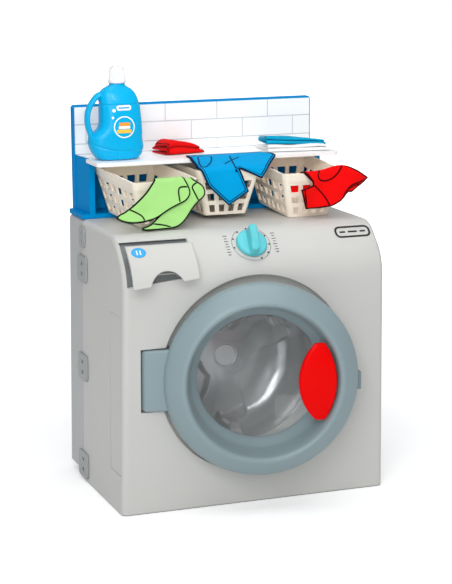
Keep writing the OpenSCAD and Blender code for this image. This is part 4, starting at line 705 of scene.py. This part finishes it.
class TOYWASHER_OT_bottle(bpy.types.Operator):
    """Builds the blown bottle with its loop handle, its ribbed cap and a plain label"""

    bl_idname = "toywasher.bottle"
    bl_label = "Build the bottle"

    def execute(self, context):
        bx, bd, foot = -156.0, 190.0, SHELF_TOP + 0.3
        side = np.array([  # height, left, right, half depth
            [0, -28, 23, 17], [1.2, -33, 29, 20], [5, -38, 34.5, 22], [12, -43, 38.5, 22.8], [20, -46.5, 40.3, 23], [27, -48.5, 39.2, 23],
            [36, -47.5, 38.8, 23], [42, -41, 39.0, 23], [48, -34, 38.6, 23], [56, -30.4, 38.0, 23], [66, -29.6, 37.2, 22.6],
            [78, -29.6, 36.0, 21.8], [88, -29.8, 34.0, 20.6], [97, -29.6, 31.0, 18.6], [104, -28.2, 27.4, 16.2], [110, -24.0, 21.6, 13.5],
            [114, -17.0, 15.0, 11.6], [116.5, -12.6, 12.2, 10.8], [119, -11.8, 11.8, 10.6], [119.6, -9, 9, 9]])
        z = np.unique(np.concatenate([np.linspace(0, 119.6, 160), [0.4, 0.8]]))
        left, right, deep = (self.gentle(side[:, 0], side[:, k], z) for k in (1, 2, 3))
        a = np.linspace(0, 2 * math.pi, 96, endpoint=False)
        power = 2 / 2.7
        cx, hw = (left + right) / 2, (right - left) / 2
        # Two grooves: level under the shoulder, and round the foot, where it climbs to the handle
        groove = sum(np.exp(-(((z[:, None] - at) / 1.5) ** 2)) for at in (88 + 2 * np.sin(a), 22.5 - 7.5 * np.cos(a) + 7.5 * np.sin(a)))
        x = bx + cx[:, None] + (hw[:, None] - 1.1 * groove) * np.sign(np.cos(a)) * np.abs(np.cos(a)) ** power
        d = bd + (deep[:, None] - 1.1 * groove) * np.sign(np.sin(a)) * np.abs(np.sin(a)) ** power
        body = np.stack([x, d, foot + z[:, None] + 0 * x], axis=-1)
        base = np.stack([np.full((1, 96), bx - 3.0), np.full((1, 96), bd), np.full((1, 96), foot + 0.6)], axis=-1)
        neck_a = np.linspace(0, 2 * math.pi, 96, endpoint=False)
        neck = np.stack([np.stack([bx + r * np.cos(neck_a), bd + r * np.sin(neck_a), np.full(96, foot + zz)], axis=-1)
                         for r, zz in ((8, 119.7), (8, 133.4), (7.4, 134), (0.0, 134.0))])
        # Loop handle: an oval tube along a bent path, thicker across the bottle's depth
        path = even_path(rounded_path([[-24, 101], [-33, 100], [-41, 91], [-47.8, 78], [-49.6, 66], [-48.8, 54], [-45.5, 44], [-41, 34], [-38, 26]],
                                      3), 70)
        tangent = np.gradient(path, axis=0)
        tangent /= np.linalg.norm(tangent, axis=1)[:, None]
        normal = np.stack([-tangent[:, 1], tangent[:, 0]], axis=1)
        b = np.linspace(0, 2 * math.pi, 40, endpoint=False)
        thick = 4.3 + 2.2 * smooth_step(np.linspace(0, 1, 70), 0.72, 1.0) + 1.8 * smooth_step(-np.linspace(0, 1, 70), -0.18, 0.0)
        off = np.cos(b)[None] * thick[:, None]
        loop = np.stack([bx + path[:, :1] + normal[:, :1] * off,
                         bd + (7.6 * np.sin(b))[None] + 0 * off,
                         foot + path[:, 1:] + normal[:, 1:] * off], axis=-1)
        ends = [np.repeat(loop[i].mean(0)[None, None], 40, axis=1) for i in (0, -1)]
        loop = np.concatenate([ends[0], loop, ends[1]])
        piece("bottle_body", [(np.concatenate([base, body, neck]), False, True), (loop, False, True)], "detergent_bottle",
              finish_of("bottle"), ["bottle"])
        self.label(bx, bd, foot, side)
        self.cap(bx, bd, foot + 119.3)
        return {"FINISHED"}

    @staticmethod
    def gentle(at, value, z):
        """Values between the stations by monotone cubic pieces, so that the flanks have no kinks."""
        slope = np.gradient(value, at)
        i = np.clip(np.searchsorted(at, z) - 1, 0, len(at) - 2)
        w = at[i + 1] - at[i]
        t = (z - at[i]) / w
        chord = (value[i + 1] - value[i]) / w
        m0 = np.where(slope[i] * chord > 0, np.sign(chord) * np.minimum(np.abs(slope[i]), 3 * np.abs(chord)), 0)
        m1 = np.where(slope[i + 1] * chord > 0, np.sign(chord) * np.minimum(np.abs(slope[i + 1]), 3 * np.abs(chord)), 0)
        return ((2 * t**3 - 3 * t**2 + 1) * value[i] + (t**3 - 2 * t**2 + t) * w * m0
                + (-2 * t**3 + 3 * t**2) * value[i + 1] + (t**3 - t**2) * w * m1)

    def label(self, bx, bd, foot, side):
        """A printed ring with plain bars and dots, laid 0.25 mm over the front of the bottle."""
        def on_bottle(x, h, z):
            deep = self.gentle(side[:, 0], side[:, 3], h)
            left, right = self.gentle(side[:, 0], side[:, 1], h), self.gentle(side[:, 0], side[:, 2], h)
            u = np.clip(np.abs((x - (left + right) / 2) / ((right - left) / 2)), 0, 0.999)
            return np.stack([bx + x, bd - deep * (1 - u**2.7) ** (1 / 2.7) - z, foot + h], axis=-1)

        def film(name, shapes, key, lift):
            grids = []
            for outline, cx, cy, inside in shapes:
                o = np.asarray(outline)
                scale = np.linspace(inside, 1, 9)[:, None, None]
                flat = o[None] * scale
                grids.append((on_bottle(flat[..., 0] + cx, flat[..., 1] + cy, lift), False, True))
            piece(name, grids, "detergent_bottle", finish_of(key), open_sheet=True)

        a = np.linspace(0, 2 * math.pi, 64, endpoint=False)
        circle = np.stack([np.cos(a), np.sin(a)], axis=1)
        film("label_plate", [(circle * 17.0, 4, 52, 0.9), (rounded_box_outline(24, 8, 3.8), 4, 82, 0), (circle * 1.9, -14, 67, 0),
                             (circle * 2.6, -12, 78, 0), (rounded_box_outline(19, 4.2, 1.9), 4, 51.5, 0)], "label", 0.25)
        film("label_stripe_top", [(rounded_box_outline(18, 5.6, 2.4), 4.5, 56.5, 0)], "label_orange", 0.45)
        film("label_stripe_bottom", [(rounded_box_outline(24, 6.0, 2.4), 3.5, 45.5, 0)], "label_yellow", 0.45)
        film("label_bar", [(rounded_box_outline(18, 2.4, 1.1), 4, 82, 0)], "mark_blue", 0.45)

    @staticmethod
    def cap(bx, bd, foot):
        """A tapered cap whose skirt and ribs are cosines round it, with a softly rounded top."""
        h = np.concatenate([[0, 0.3, 2.2, 4.4, 5.0, 5.6], np.linspace(7, 23, 14), [24.2, 25.2, 25.8, 26, 26]])
        r = np.interp(h, [0, 0.3, 4.4, 5.0, 5.6, 23, 24.2, 25.2, 25.8, 26], [13.2, 13.9, 13.9, 13.6, 12.9, 10.9, 10.6, 9.9, 8.9, 8.0])
        r[-1] = 0
        a = np.linspace(0, 2 * math.pi, 24 * 8, endpoint=False)
        rib = 0.55 * np.cos(24 * a)[None] * (smooth_step(h, 5.2, 7) * (1 - smooth_step(h, 21, 24)))[:, None]
        rr = r[:, None] + np.where(r[:, None] > 0, rib, 0)
        outside = np.stack([bx + rr * np.cos(a), bd + rr * np.sin(a), foot + h[:, None] + 0 * rr], axis=-1)
        bore = np.stack([np.stack([bx + q * np.cos(a), bd + q * np.sin(a), np.full(len(a), foot + zz)], axis=-1)
                         for q, zz in ((0.0, 15.0), (8.3, 15.0), (8.3, 0.0))])
        piece("ribbed_cap", [(np.concatenate([bore, outside]), False, True)], "cap", finish_of("cap"), ["bottle_cap"])


# Paths that the hanging felt follows. A path is in depth and height, from its hanging end over the
# basket's front rim and down inside. The baskets' own frames are turned and tilted as they stand.

LEFT = (-117.5, 101.0, 426.3, 6.5)
RIGHT = (131.5, 101.0, 426.3, 1.6)
TILT = math.degrees(math.atan((433.8 - 426.3) / (210.5 - 101.0)))


def in_basket(place, x, y, z):
    """A basket's own width, length and height to (x, d, h)."""
    t, yaw = math.radians(TILT), math.radians(place[3])
    d, h = y * math.cos(t) - z * math.sin(t), y * math.sin(t) + z * math.cos(t)
    return np.stack([place[0] + x * math.cos(yaw) - d * math.sin(yaw),
                     place[1] + x * math.sin(yaw) + d * math.cos(yaw), place[2] + h], axis=-1)


def rim_path(offset, tail, foot):
    """From the hanging foot up the outside, over the rim and down inside, offset from the basket."""
    lean = 19.0 / 74.0
    inner, outer, top = -19 + 2.2 + 0.3, -19 - 1.2 - 0.3, 74.3
    o = offset + 1.1
    hang = [[foot[0] - o, foot[1] + o * 0.6], [-29.5 - o, 30 + o * 0.8], [outer - 1.2 - o, top - 5], [outer + 0.6 - o, top + o - 1.2]]
    over = [[outer + 2.2, top + o + 0.5], [inner - 0.8, top + o + 0.2], [inner + 0.4 + o, top - 2.5]]
    inside = [[inner + lean * (74 - tail) + o, tail]]
    return even_path(rounded_path(hang + over + inside, 2), 400)


def felt_piece(name, cuts, follow, sway, body, material, replaces, lines=(), stitch=0.0):
    """A cut of felt from grids of (x, s), where s is the length along the path from its start. The cut lies
    on the path, with soft folds: two crossed sine waves across it that die out where it rests. The
    printed lines run along the cut edges and along the given lines."""
    rims = [np.concatenate([g[0], g[-1], g[1:-1, 0], g[1:-1, -1]]) for g in cuts]
    free = []
    for k, rim in enumerate(rims):
        others = [r for j, r in enumerate(rims) if j != k]
        near = np.linalg.norm(rim[:, None] - np.concatenate(others)[None], axis=2).min(1) if others else np.ones(len(rim))
        free.append(rim[near > 1e-6])
    edge, grids = [], []
    for g in cuts:
        gap = nearest(g.reshape(-1, 2), np.concatenate(free))
        if stitch:
            gap = np.where(gap > 2.8, np.minimum(gap, 1.5 + np.abs(gap - stitch)), gap)
        for line in lines:
            gap = np.where(gap > 2.8, np.minimum(gap, 1.0 + nearest(g.reshape(-1, 2), even_path(rounded_path(line, 2), 90))), gap)
        edge.append(gap)
        grids.append((follow(g[..., 0], g[..., 1], sway(g[..., 0], g[..., 1])), False, False))
    obj = piece(name, grids, body, material, replaces, open_sheet=True, attributes={"edge_mm": np.concatenate(edge)})
    solid = obj.modifiers.new("felt thickness", "SOLIDIFY")
    solid.thickness = bpy.context.scene.toy_cloth.thick / 1000
    solid.offset = 0.0
    soft = obj.modifiers.new("cut edge", "BEVEL")
    soft.width, soft.segments, soft.limit_method, soft.angle_limit = 0.0005, 2, "ANGLE", math.radians(50)
    return obj


def nearest(points, others):
    """Distance from each point to the nearest of the others, in millimetres."""
    out = np.empty(len(points))
    for k in range(0, len(points), 2000):
        out[k : k + 2000] = np.linalg.norm(points[k : k + 2000, None] - others[None], axis=2).min(1)
    return out


def ruled(stations, rows, across, rounds=3):
    """Straight rules from side a to side b of a cut. A station is (ax, as, bx, bs) in millimetres. The
    corners are cut by rounds, and the rules are stepped evenly through the stations."""
    p = even_path(rounded_path(stations, rounds), rows)
    t = np.linspace(0, 1, across)[None, :, None]
    return (1 - t) * p[:, None, :2] + t * p[:, None, 2:]


class TOYWASHER_OT_clothes(bpy.types.Operator):
    """Builds the felt socks, shorts and shirt that hang over the baskets' rims"""

    bl_idname = "toywasher.clothes"
    bl_label = "Build the hanging clothes"

    def execute(self, context):
        self.socks(context.scene.toy_cloth)
        self.shorts(context.scene.toy_cloth)
        self.shirt(context.scene.toy_cloth)
        return {"FINISHED"}

    @staticmethod
    def socks(c):
        """Each sock's cut runs from inside the basket over the rim and down to its toe."""
        for name, offset, foot, stations, lines, node in (
            ("felt_sock_lower", 0.0, (-43, 3.4),
             [(4, 103, 41, 103), (4, 77, 41, 77), (8, 68, 50, 71), (10, 60, 61, 64), (8, 50, 64, 53), (2, 41, 60, 45), (-8, 32, 50, 39),
              (-18, 24, 37, 26), (-27, 16, 21, 11), (-34, 10, 5, 1), (-42, 7.4, -26, 0.3), (-48.5, 6.6, -43, 0.9), (-51, 4.2, -49, 2.2)],
             [[(-32, 11), (-13, 7.5), (-3, 4), (2, 0)], [(54, 71), (40, 64), (44, 55), (51, 41)]], "felt_sock_back"),
            ("felt_sock_upper", 2.6, (-43, 7.0),
             [(-18, 106, 26, 106), (-19, 77, 26, 77), (-27, 68, 34, 62), (-35, 58, 38, 49), (-45, 49, 30, 38), (-55, 41, 18, 34),
              (-62, 36, -4, 27), (-70, 32, -26, 13), (-78, 28, -45, 9.5), (-86, 26, -64, 9.5), (-91, 22, -81, 13), (-91, 20, -89, 18)],
             [[(-69, 32), (-55, 25), (-46, 18), (-45, 9)], [(32, 59.5), (19, 60), (16, 54), (18, 33)]], "felt_sock_front"),
        ):
            path = rim_path(offset, 50, foot)

            def follow(x, s, z, path=path):
                p = along(path, s)
                return in_basket(LEFT, x, p[..., 0] - z, p[..., 1])

            def sway(x, s, c=c):
                rest = smooth_step(-s, -62, -20)
                return rest * (c.sway * 0.8 * np.sin(x / 15.0 + s / 19.0) + 0.5 * np.sin(x / 7.0 - s / 11.0)) + 0.6 * rest

            felt_piece(name, [ruled(stations, 150, 48)], follow, sway, "left_basket", finish_of("felt_green"), [node],
                       lines)

    @staticmethod
    def shorts(c):
        """Two legs share the waist, which lies on the shelf's front edge and on the basket's rim."""
        rim_d, rim_h, top = 125.5 - 20.2, 433.8 + 74.0, SHELF_TOP + 0.3
        path = even_path(rounded_path([[rim_d - 4.5, rim_h - 74], [rim_d - 3.6, rim_h - 30], [rim_d - 2.9, rim_h - 4],
                                       [rim_d - 0.5, rim_h + 2.0], [125, top - 5.0], [143.5, top + 1.0], [149, top + 1.25],
                                       [172, top + 1.25]], 2), 400)
        # Above the crotch both legs take their middle edge from the same points
        upper = [(-50, 144, 14, 144), (-54, 110, 15, 110), (-53, 84, 15.3, 74.2)]
        lower = [(-53, 84, 15.3, 74.2), (-38, 50.3, 22, 57.6), (-5, 18, 30, 38)]
        left_leg = np.concatenate([ruled(upper, 50, 36, 0), ruled(lower, 60, 36, 0)[1:]])
        upper = [(14, 144, 78, 144), (15, 110, 88, 122), (15.3, 74.2, 90, 112)]
        lower = [(15.3, 74.2, 90, 112), (33, 66, 89, 109), (52, 57, 86, 105)]
        right_leg = np.concatenate([ruled(upper, 50, 36, 0), ruled(lower, 50, 36, 0)[1:]])
        # The legs' shared edge must fall on the same points, whatever the outer edges' lengths
        right_leg[:50, 0] = left_leg[:50, -1]

        def follow(x, s, z):
            p = along(path, s)
            hang = smooth_step(-p[..., 1], -506, -480)
            return np.stack([x, p[..., 0] - z * (0.25 + 0.75 * hang), p[..., 1]], axis=-1)

        def sway(x, s):
            rest = smooth_step(-s, -70, -20)
            return rest * (c.sway * np.sin(x / 14.0 + s / 22.0) + 0.7 * np.sin(x / 6.0 - s / 9.0)) + 0.35 * np.sin(x / 15.0)

        felt_piece("felt_shorts_draped", [left_leg, right_leg], follow, sway, "middle_basket", finish_of("felt_blue"), ["felt_shorts"],
                   [[(-39, 119), (-27, 128), (-16, 124), (-20, 105), (-31, 88), (-41, 80), (-47, 88), (-39, 119)],
                    [(13, 116), (9.5, 89), (8.7, 70)], [(-4, 89), (11, 101), (26, 109)], [(-60, 107), (-48, 122), (-32, 144)]], 4.6)

    @staticmethod
    def shirt(c):
        """The sleeve hangs to the left and the collar points to the right; the rest lies in the basket."""
        path = rim_path(0.0, 20, (-33, 8))
        stations = [(-28, 42, -19, 10), (-15, 45, 0, 10.5), (-2.5, 48, 21, 12.5), (-19, 70, 26, 14), (-38, 86, 28, 15), (-40, 113, 30, 16),
                    (46, 113, 44, 22), (52, 71, 53, 35), (62, 69, 58, 33), (74, 65, 68, 39), (91, 54.7, 88, 52)]

        def follow(x, s, z):
            p = along(path, s)
            out = smooth_step(x, 44, 70)
            rise = 7.5 * np.exp(-(((x - 43) / 25.0) ** 2)) * smooth_step(s, 50, 74)
            return in_basket(RIGHT, x, p[..., 0] - z - 3.0 * out * smooth_step(-s, -90, -60), p[..., 1] + rise)

        def sway(x, s):
            rest = smooth_step(-s, -72, -40)
            free = smooth_step(x, 46, 80)
            return (rest + free * 0.6) * (c.sway * np.sin(x / 12.0 - s / 17.0) + 0.8 * np.sin(x / 5.5 + s / 8.0))

        felt_piece("felt_shirt_draped", [ruled(stations, 190, 60, 1)], follow, sway, "right_basket", finish_of("felt_red"),
                   ["felt_shirt"],
                   [[(-3.4, 47), (6, 38), (15, 27), (21.5, 12)], [(-22.3, 43), (-16.6, 9)],
                    [(42, 22), (47.6, 32.5), (54.6, 42.4), (68, 48), (88, 53)], [(47, 30), (52, 38.5), (62, 43.5), (74, 46)],
                    [(3, 62), (9, 74), (24, 83), (42, 86), (53, 79), (42, 64), (28, 55), (15, 52), (5, 55), (3, 62)]])


class TOYWASHER_OT_folded(bpy.types.Operator):
    """Builds the folded cloths on the shelf: each is one long strip of felt folded back and forth"""

    bl_idname = "toywasher.folded"
    bl_label = "Build the folded cloths"

    def execute(self, context):
        self.stack("folded_red_felt", (-43, 232), 68, 46, 10, 4, (11.0, 5.5), (0.5, 0.5), 1.1, 0.18, 0.45, "felt_scarlet",
                   "folded_red_cloth", "cloth_red")
        self.stack("folded_white_felt", (146, 206), 104, 80, -6, 4, (3.6, 3.0), (0.5, 0.5), 1.2, 0.06, 0.2, "felt_white",
                   "folded_white_cloth", "cloth_white")
        self.stack("folded_blue_felt", (145, 204), 100, 52, -7, 4, (4.4, 1.9), (12.2, 9.0), 0.8, 0.03, 0.12, "felt_teal",
                   "folded_blue_cloth", "cloth_blue")
        return {"FINISHED"}

    @staticmethod
    def stack(name, centre, wide, deep, yaw, layers, pitch, lift, slump, narrow, pinch, key, node, slot):
        """The strip's side view is a path of level runs joined by round folds, the first at the front, and it
        is carried along the cloth's width. A pitch apart where they fold at the front and touching where they
        fold at the back, the runs grow shorter upwards by the share narrow and close at both ends by the
        share pinch. Crossed sine waves that grow with the height lift and shift them a little."""
        path, bend = [], np.linspace(-math.pi / 2, math.pi / 2, 11)[1:-1]
        for k in range(layers):
            run = np.linspace(deep / 2 - 2 * k, -deep / 2 + 1.5 * k, 30)
            run = run if k % 2 == 0 else run[::-1]
            path.append(np.stack([run, np.full(30, k)], axis=1))
            if k < layers - 1:
                side, reach = (-1, 0.6 * pitch[0]) if k % 2 == 0 else (1, 1.5)
                path.append(np.stack([run[-1] + side * reach * np.cos(bend), k + 0.5 + 0.5 * np.sin(bend)], axis=1))
        path = np.concatenate(path)
        w = np.linspace(-1, 1, 90)[None]
        u, v = path[:, :1], path[:, 1:]
        level = v / (layers - 1)
        gap = pitch[0] + (pitch[1] - pitch[0]) * smooth_step(w, -1.1, 1.1)
        gap = gap * (1 - pinch * np.abs(w) ** 4)
        pairs = np.minimum(v - np.floor(v / 2) * 2, 1)
        height = np.floor(v / 2) * (gap + 2.4) + pairs * gap + np.maximum(v - np.floor(v / 2) * 2 - 1, 0) * 2.4
        across = 0.5 * wide * w * (1 - narrow * level) - 0.4 * narrow * wide * level
        ahead = u + slump * (0.6 + level) * np.sin(across / 8.5 + 2.1 * np.floor(v / 2))
        lifted = height - 0.07 * level * (u + deep / 2) + slump * level * np.sin(across / 12.0 + u / 21.0 + 0.8)
        base = lift[0] + (lift[1] - lift[0]) * 0.5 * (w + 1)
        turn = math.radians(yaw)
        points = np.stack([centre[0] + across * math.cos(turn) - ahead * math.sin(turn),
                           centre[1] + across * math.sin(turn) + ahead * math.cos(turn), SHELF_TOP + 1.2 + base + lifted], axis=-1)
        mean = path * [1.0, sum(pitch) / 4 + 1.2]
        walked = np.concatenate([[0], np.cumsum(np.linalg.norm(np.diff(mean, axis=0), axis=1))])
        edge = np.abs(np.minimum(0.5 * wide * (1 - np.abs(w)), np.minimum(walked, walked[-1] - walked)[:, None]) - 2.2)
        obj = piece(name, [(points, False, False)], "cabinet", finish_of(key), [node], open_sheet=True,
                    attributes={"edge_mm": edge})
        solid = obj.modifiers.new("felt thickness", "SOLIDIFY")
        solid.thickness, solid.offset = 0.0018, 0.0


class TOYWASHER_OT_marks(bpy.types.Operator):
    """Builds the plain printed number on the drawer's front"""

    bl_idname = "toywasher.marks"
    bl_label = "Build the drawer's mark"

    def execute(self, context):
        # The panel's plane carries on over the drawer, which stands open by its pull
        a = np.linspace(0, 2 * math.pi, 48, endpoint=False)
        oval = np.stack([11.5 * np.cos(a), 9.0 * np.sin(a)], axis=1)
        pull = 27.0

        def on_drawer(x, y, z):
            p = on_panel(x - KNOB[0] - 188.0, y + 4.0, z + 0.12)
            p[..., 1] -= pull
            return p

        piece("drawer_oval_mark", [(cushion_form(oval, [[0, 0.0], [0, 0.16]], on_drawer), False, True)], "drawer",
              finish_of("mark_blue"))
        bar = rounded_box_outline(2.0, 8.4, 0.9, 4)
        grids = [(cushion_form(bar, [[0, 0.1], [0, 0.3]], lambda x, y, z, k=k: on_drawer(x + k, y, z)), False, True) for k in (-2.6, 2.6)]
        piece("drawer_count_mark", grids, "drawer", finish_of("label"))
        return {"FINISHED"}


class TOYWASHER_OT_stage(bpy.types.Operator):
    """Sets the floor, the soft studio light, the white background and the camera"""

    bl_idname = "toywasher.stage"
    bl_label = "Set the stage"

    def execute(self, context):
        scene = context.scene
        scene.view_settings.view_transform = "Standard"
        self.floor()
        self.world(scene)
        for name, place, aim, size, power, spread, tint in (
            ("key light", (-1.5, -2.8, 2.3), (0, 0, 0.3), 1.5, 38, 180, (1.0, 0.995, 0.985)),
            ("door light", (-1.2, -2.75, 0.85), (0, 0, 0.25), 0.8, 13, 180, (1, 1, 1)),
            ("top light", (0.0, -0.4, 2.8), (0, 0, 0.3), 2.2, 26, 180, (1, 1, 1)),
            ("shelf light", (-0.1, -1.6, 1.5), (0, 0.12, 0.70), 0.5, 0.5, 34, (1, 1, 1)),
        ):
            data = bpy.data.lights.new(name, "AREA")
            data.shape, data.size, data.energy, data.color = "SQUARE", size, power, tint
            data.spread = math.radians(spread)
            lamp = bpy.data.objects.new(name, data)
            lamp.location = place
            lamp.rotation_euler = (Vector(aim) - Vector(place)).to_track_quat("-Z", "Y").to_euler()
            scene.collection.objects.link(lamp)
        self.camera(scene)
        return {"FINISHED"}

    @staticmethod
    def floor():
        """A wide level sheet on the ground, painted matt white."""
        u = np.linspace(-9, 9, 3)
        x, y = np.meshgrid(u, u, indexing="ij")
        mesh = bpy.data.meshes.new("studio_floor")
        mesh.from_pydata(np.stack([x, y, 0 * x], axis=-1).reshape(-1, 3), [], grid_faces(3, 3, False, False))
        material, tree, out = blank("matt_white_floor")
        at = add(tree, "ShaderNodeTexCoord", -700, 0).outputs["Object"]
        cloud = add(tree, "ShaderNodeTexNoise", -500, 0, {"Scale": 3.0}, {"Vector": at})
        tint = add(tree, "ShaderNodeMix", -300, 0, {6: (0.93, 0.93, 0.93, 1), 7: (0.96, 0.96, 0.96, 1)}, {0: cloud.outputs["Fac"]},
                   data_type="RGBA")
        matt = add(tree, "ShaderNodeBsdfPrincipled", 0, 0, {"Roughness": 0.9, "Specular IOR Level": 0.1}, {"Base Color": tint.outputs[2]})
        # The camera sees a white glow under the shadows, alone or through glass; far off the floor is plain white
        far = add(tree, "ShaderNodeVectorMath", -500, -400, None, {0: at}, operation="LENGTH")
        glow = add(tree, "ShaderNodeMapRange", -300, -400, {"From Min": 0.45, "From Max": 1.6, "To Min": 0.30, "To Max": 1.0},
                   {"Value": far.outputs["Value"]})
        white = add(tree, "ShaderNodeEmission", -100, -400, None, {"Strength": glow.outputs[0]})
        lit = add(tree, "ShaderNodeAddShader", 300, -200, None, {0: matt.outputs[0], 1: white.outputs[0]})
        rays = add(tree, "ShaderNodeLightPath", 0, 500)
        seen = add(tree, "ShaderNodeMath", 400, 300, None, {0: rays.outputs["Is Camera Ray"], 1: rays.outputs["Is Transmission Ray"]},
                   operation="MAXIMUM")
        both = add(tree, "ShaderNodeMixShader", 650, 0, None, {0: seen.outputs[0], 1: matt.outputs[0], 2: lit.outputs[0]})
        tree.links.new(both.outputs[0], out.inputs["Surface"])
        mesh.materials.append(material)
        obj = bpy.data.objects.new("studio_floor", mesh)
        bpy.context.scene.collection.objects.link(obj)

    @staticmethod
    def world(scene):
        """White to the camera, to mirrors and through glass, and a plain pale light on everything else."""
        world = bpy.data.worlds.new("studio")
        scene.world = world
        world.use_nodes = True
        tree = world.node_tree
        tree.nodes.clear()
        out = add(tree, "ShaderNodeOutputWorld", 600, 0)
        rays = add(tree, "ShaderNodeLightPath", -400, 200)
        seen = add(tree, "ShaderNodeMath", -200, 200, None, {0: rays.outputs["Is Camera Ray"], 1: rays.outputs["Is Transmission Ray"]},
                   operation="MAXIMUM")
        light = add(tree, "ShaderNodeBackground", 0, -100, {"Color": (0.95, 0.97, 1.0, 1), "Strength": 0.42})
        white = add(tree, "ShaderNodeBackground", 0, 100, {"Color": (1, 1, 1, 1), "Strength": 1.0})
        mix = add(tree, "ShaderNodeMixShader", 300, 0, None, {0: seen.outputs[0], 1: light.outputs[0], 2: white.outputs[0]})
        tree.links.new(mix.outputs[0], out.inputs[0])

    @staticmethod
    def camera(scene):
        """The photograph's view: from the left and a little above."""
        azimuth, elevation, roll = (math.radians(v) for v in (-20.41, 11.32, -0.41))
        back = Vector((math.sin(azimuth) * math.cos(elevation), -math.cos(azimuth) * math.cos(elevation), math.sin(elevation)))
        right = Vector((math.cos(azimuth), math.sin(azimuth), 0))
        up = back.cross(right)
        right, up = (math.cos(roll) * right + math.sin(roll) * up, -math.sin(roll) * right + math.cos(roll) * up)
        data = bpy.data.cameras.new("camera")
        data.sensor_fit, data.sensor_width, data.lens = "AUTO", 36.0, 113.36
        data.clip_end = 50
        camera = bpy.data.objects.new("camera", data)
        place = Matrix((right, up, back)).transposed().to_4x4()
        place.translation = Vector((-1.0028, -2.7125, 0.8852))
        camera.matrix_world = place
        scene.collection.objects.link(camera)
        scene.camera = camera


OPERATORS = [
    TOYWASHER_OT_carried, TOYWASHER_OT_door, TOYWASHER_OT_drum, TOYWASHER_OT_knob, TOYWASHER_OT_bottle,
    TOYWASHER_OT_clothes, TOYWASHER_OT_folded, TOYWASHER_OT_marks, TOYWASHER_OT_stage,
]


class TOYWASHER_PT_panel(bpy.types.Panel):
    """Lists the steps that build the toy"""

    bl_idname = "TOYWASHER_PT_panel"
    bl_label = "Toy washer"
    bl_space_type = "VIEW_3D"
    bl_region_type = "UI"
    bl_category = "Toy washer"

    def draw(self, context):
        for operator in OPERATORS:
            self.layout.operator(operator.bl_idname)
        for key, group in SETTINGS.items():
            box = self.layout.box()
            for name in group.__annotations__:
                box.prop(getattr(context.scene, key), name)


def register():
    for group in SETTINGS.values():
        bpy.utils.register_class(group)
    for key, group in SETTINGS.items():
        setattr(bpy.types.Scene, key, PointerProperty(type=group))
    for operator in OPERATORS:
        bpy.utils.register_class(operator)
    bpy.utils.register_class(TOYWASHER_PT_panel)


def unregister():
    bpy.utils.unregister_class(TOYWASHER_PT_panel)
    for operator in reversed(OPERATORS):
        bpy.utils.unregister_class(operator)
    for key, group in SETTINGS.items():
        delattr(bpy.types.Scene, key)
        bpy.utils.unregister_class(group)


def main():
    register()
    for operator in OPERATORS:
        group, name = operator.bl_idname.split(".")
        getattr(getattr(bpy.ops, group), name)()


if __name__ == "__main__":
    main()
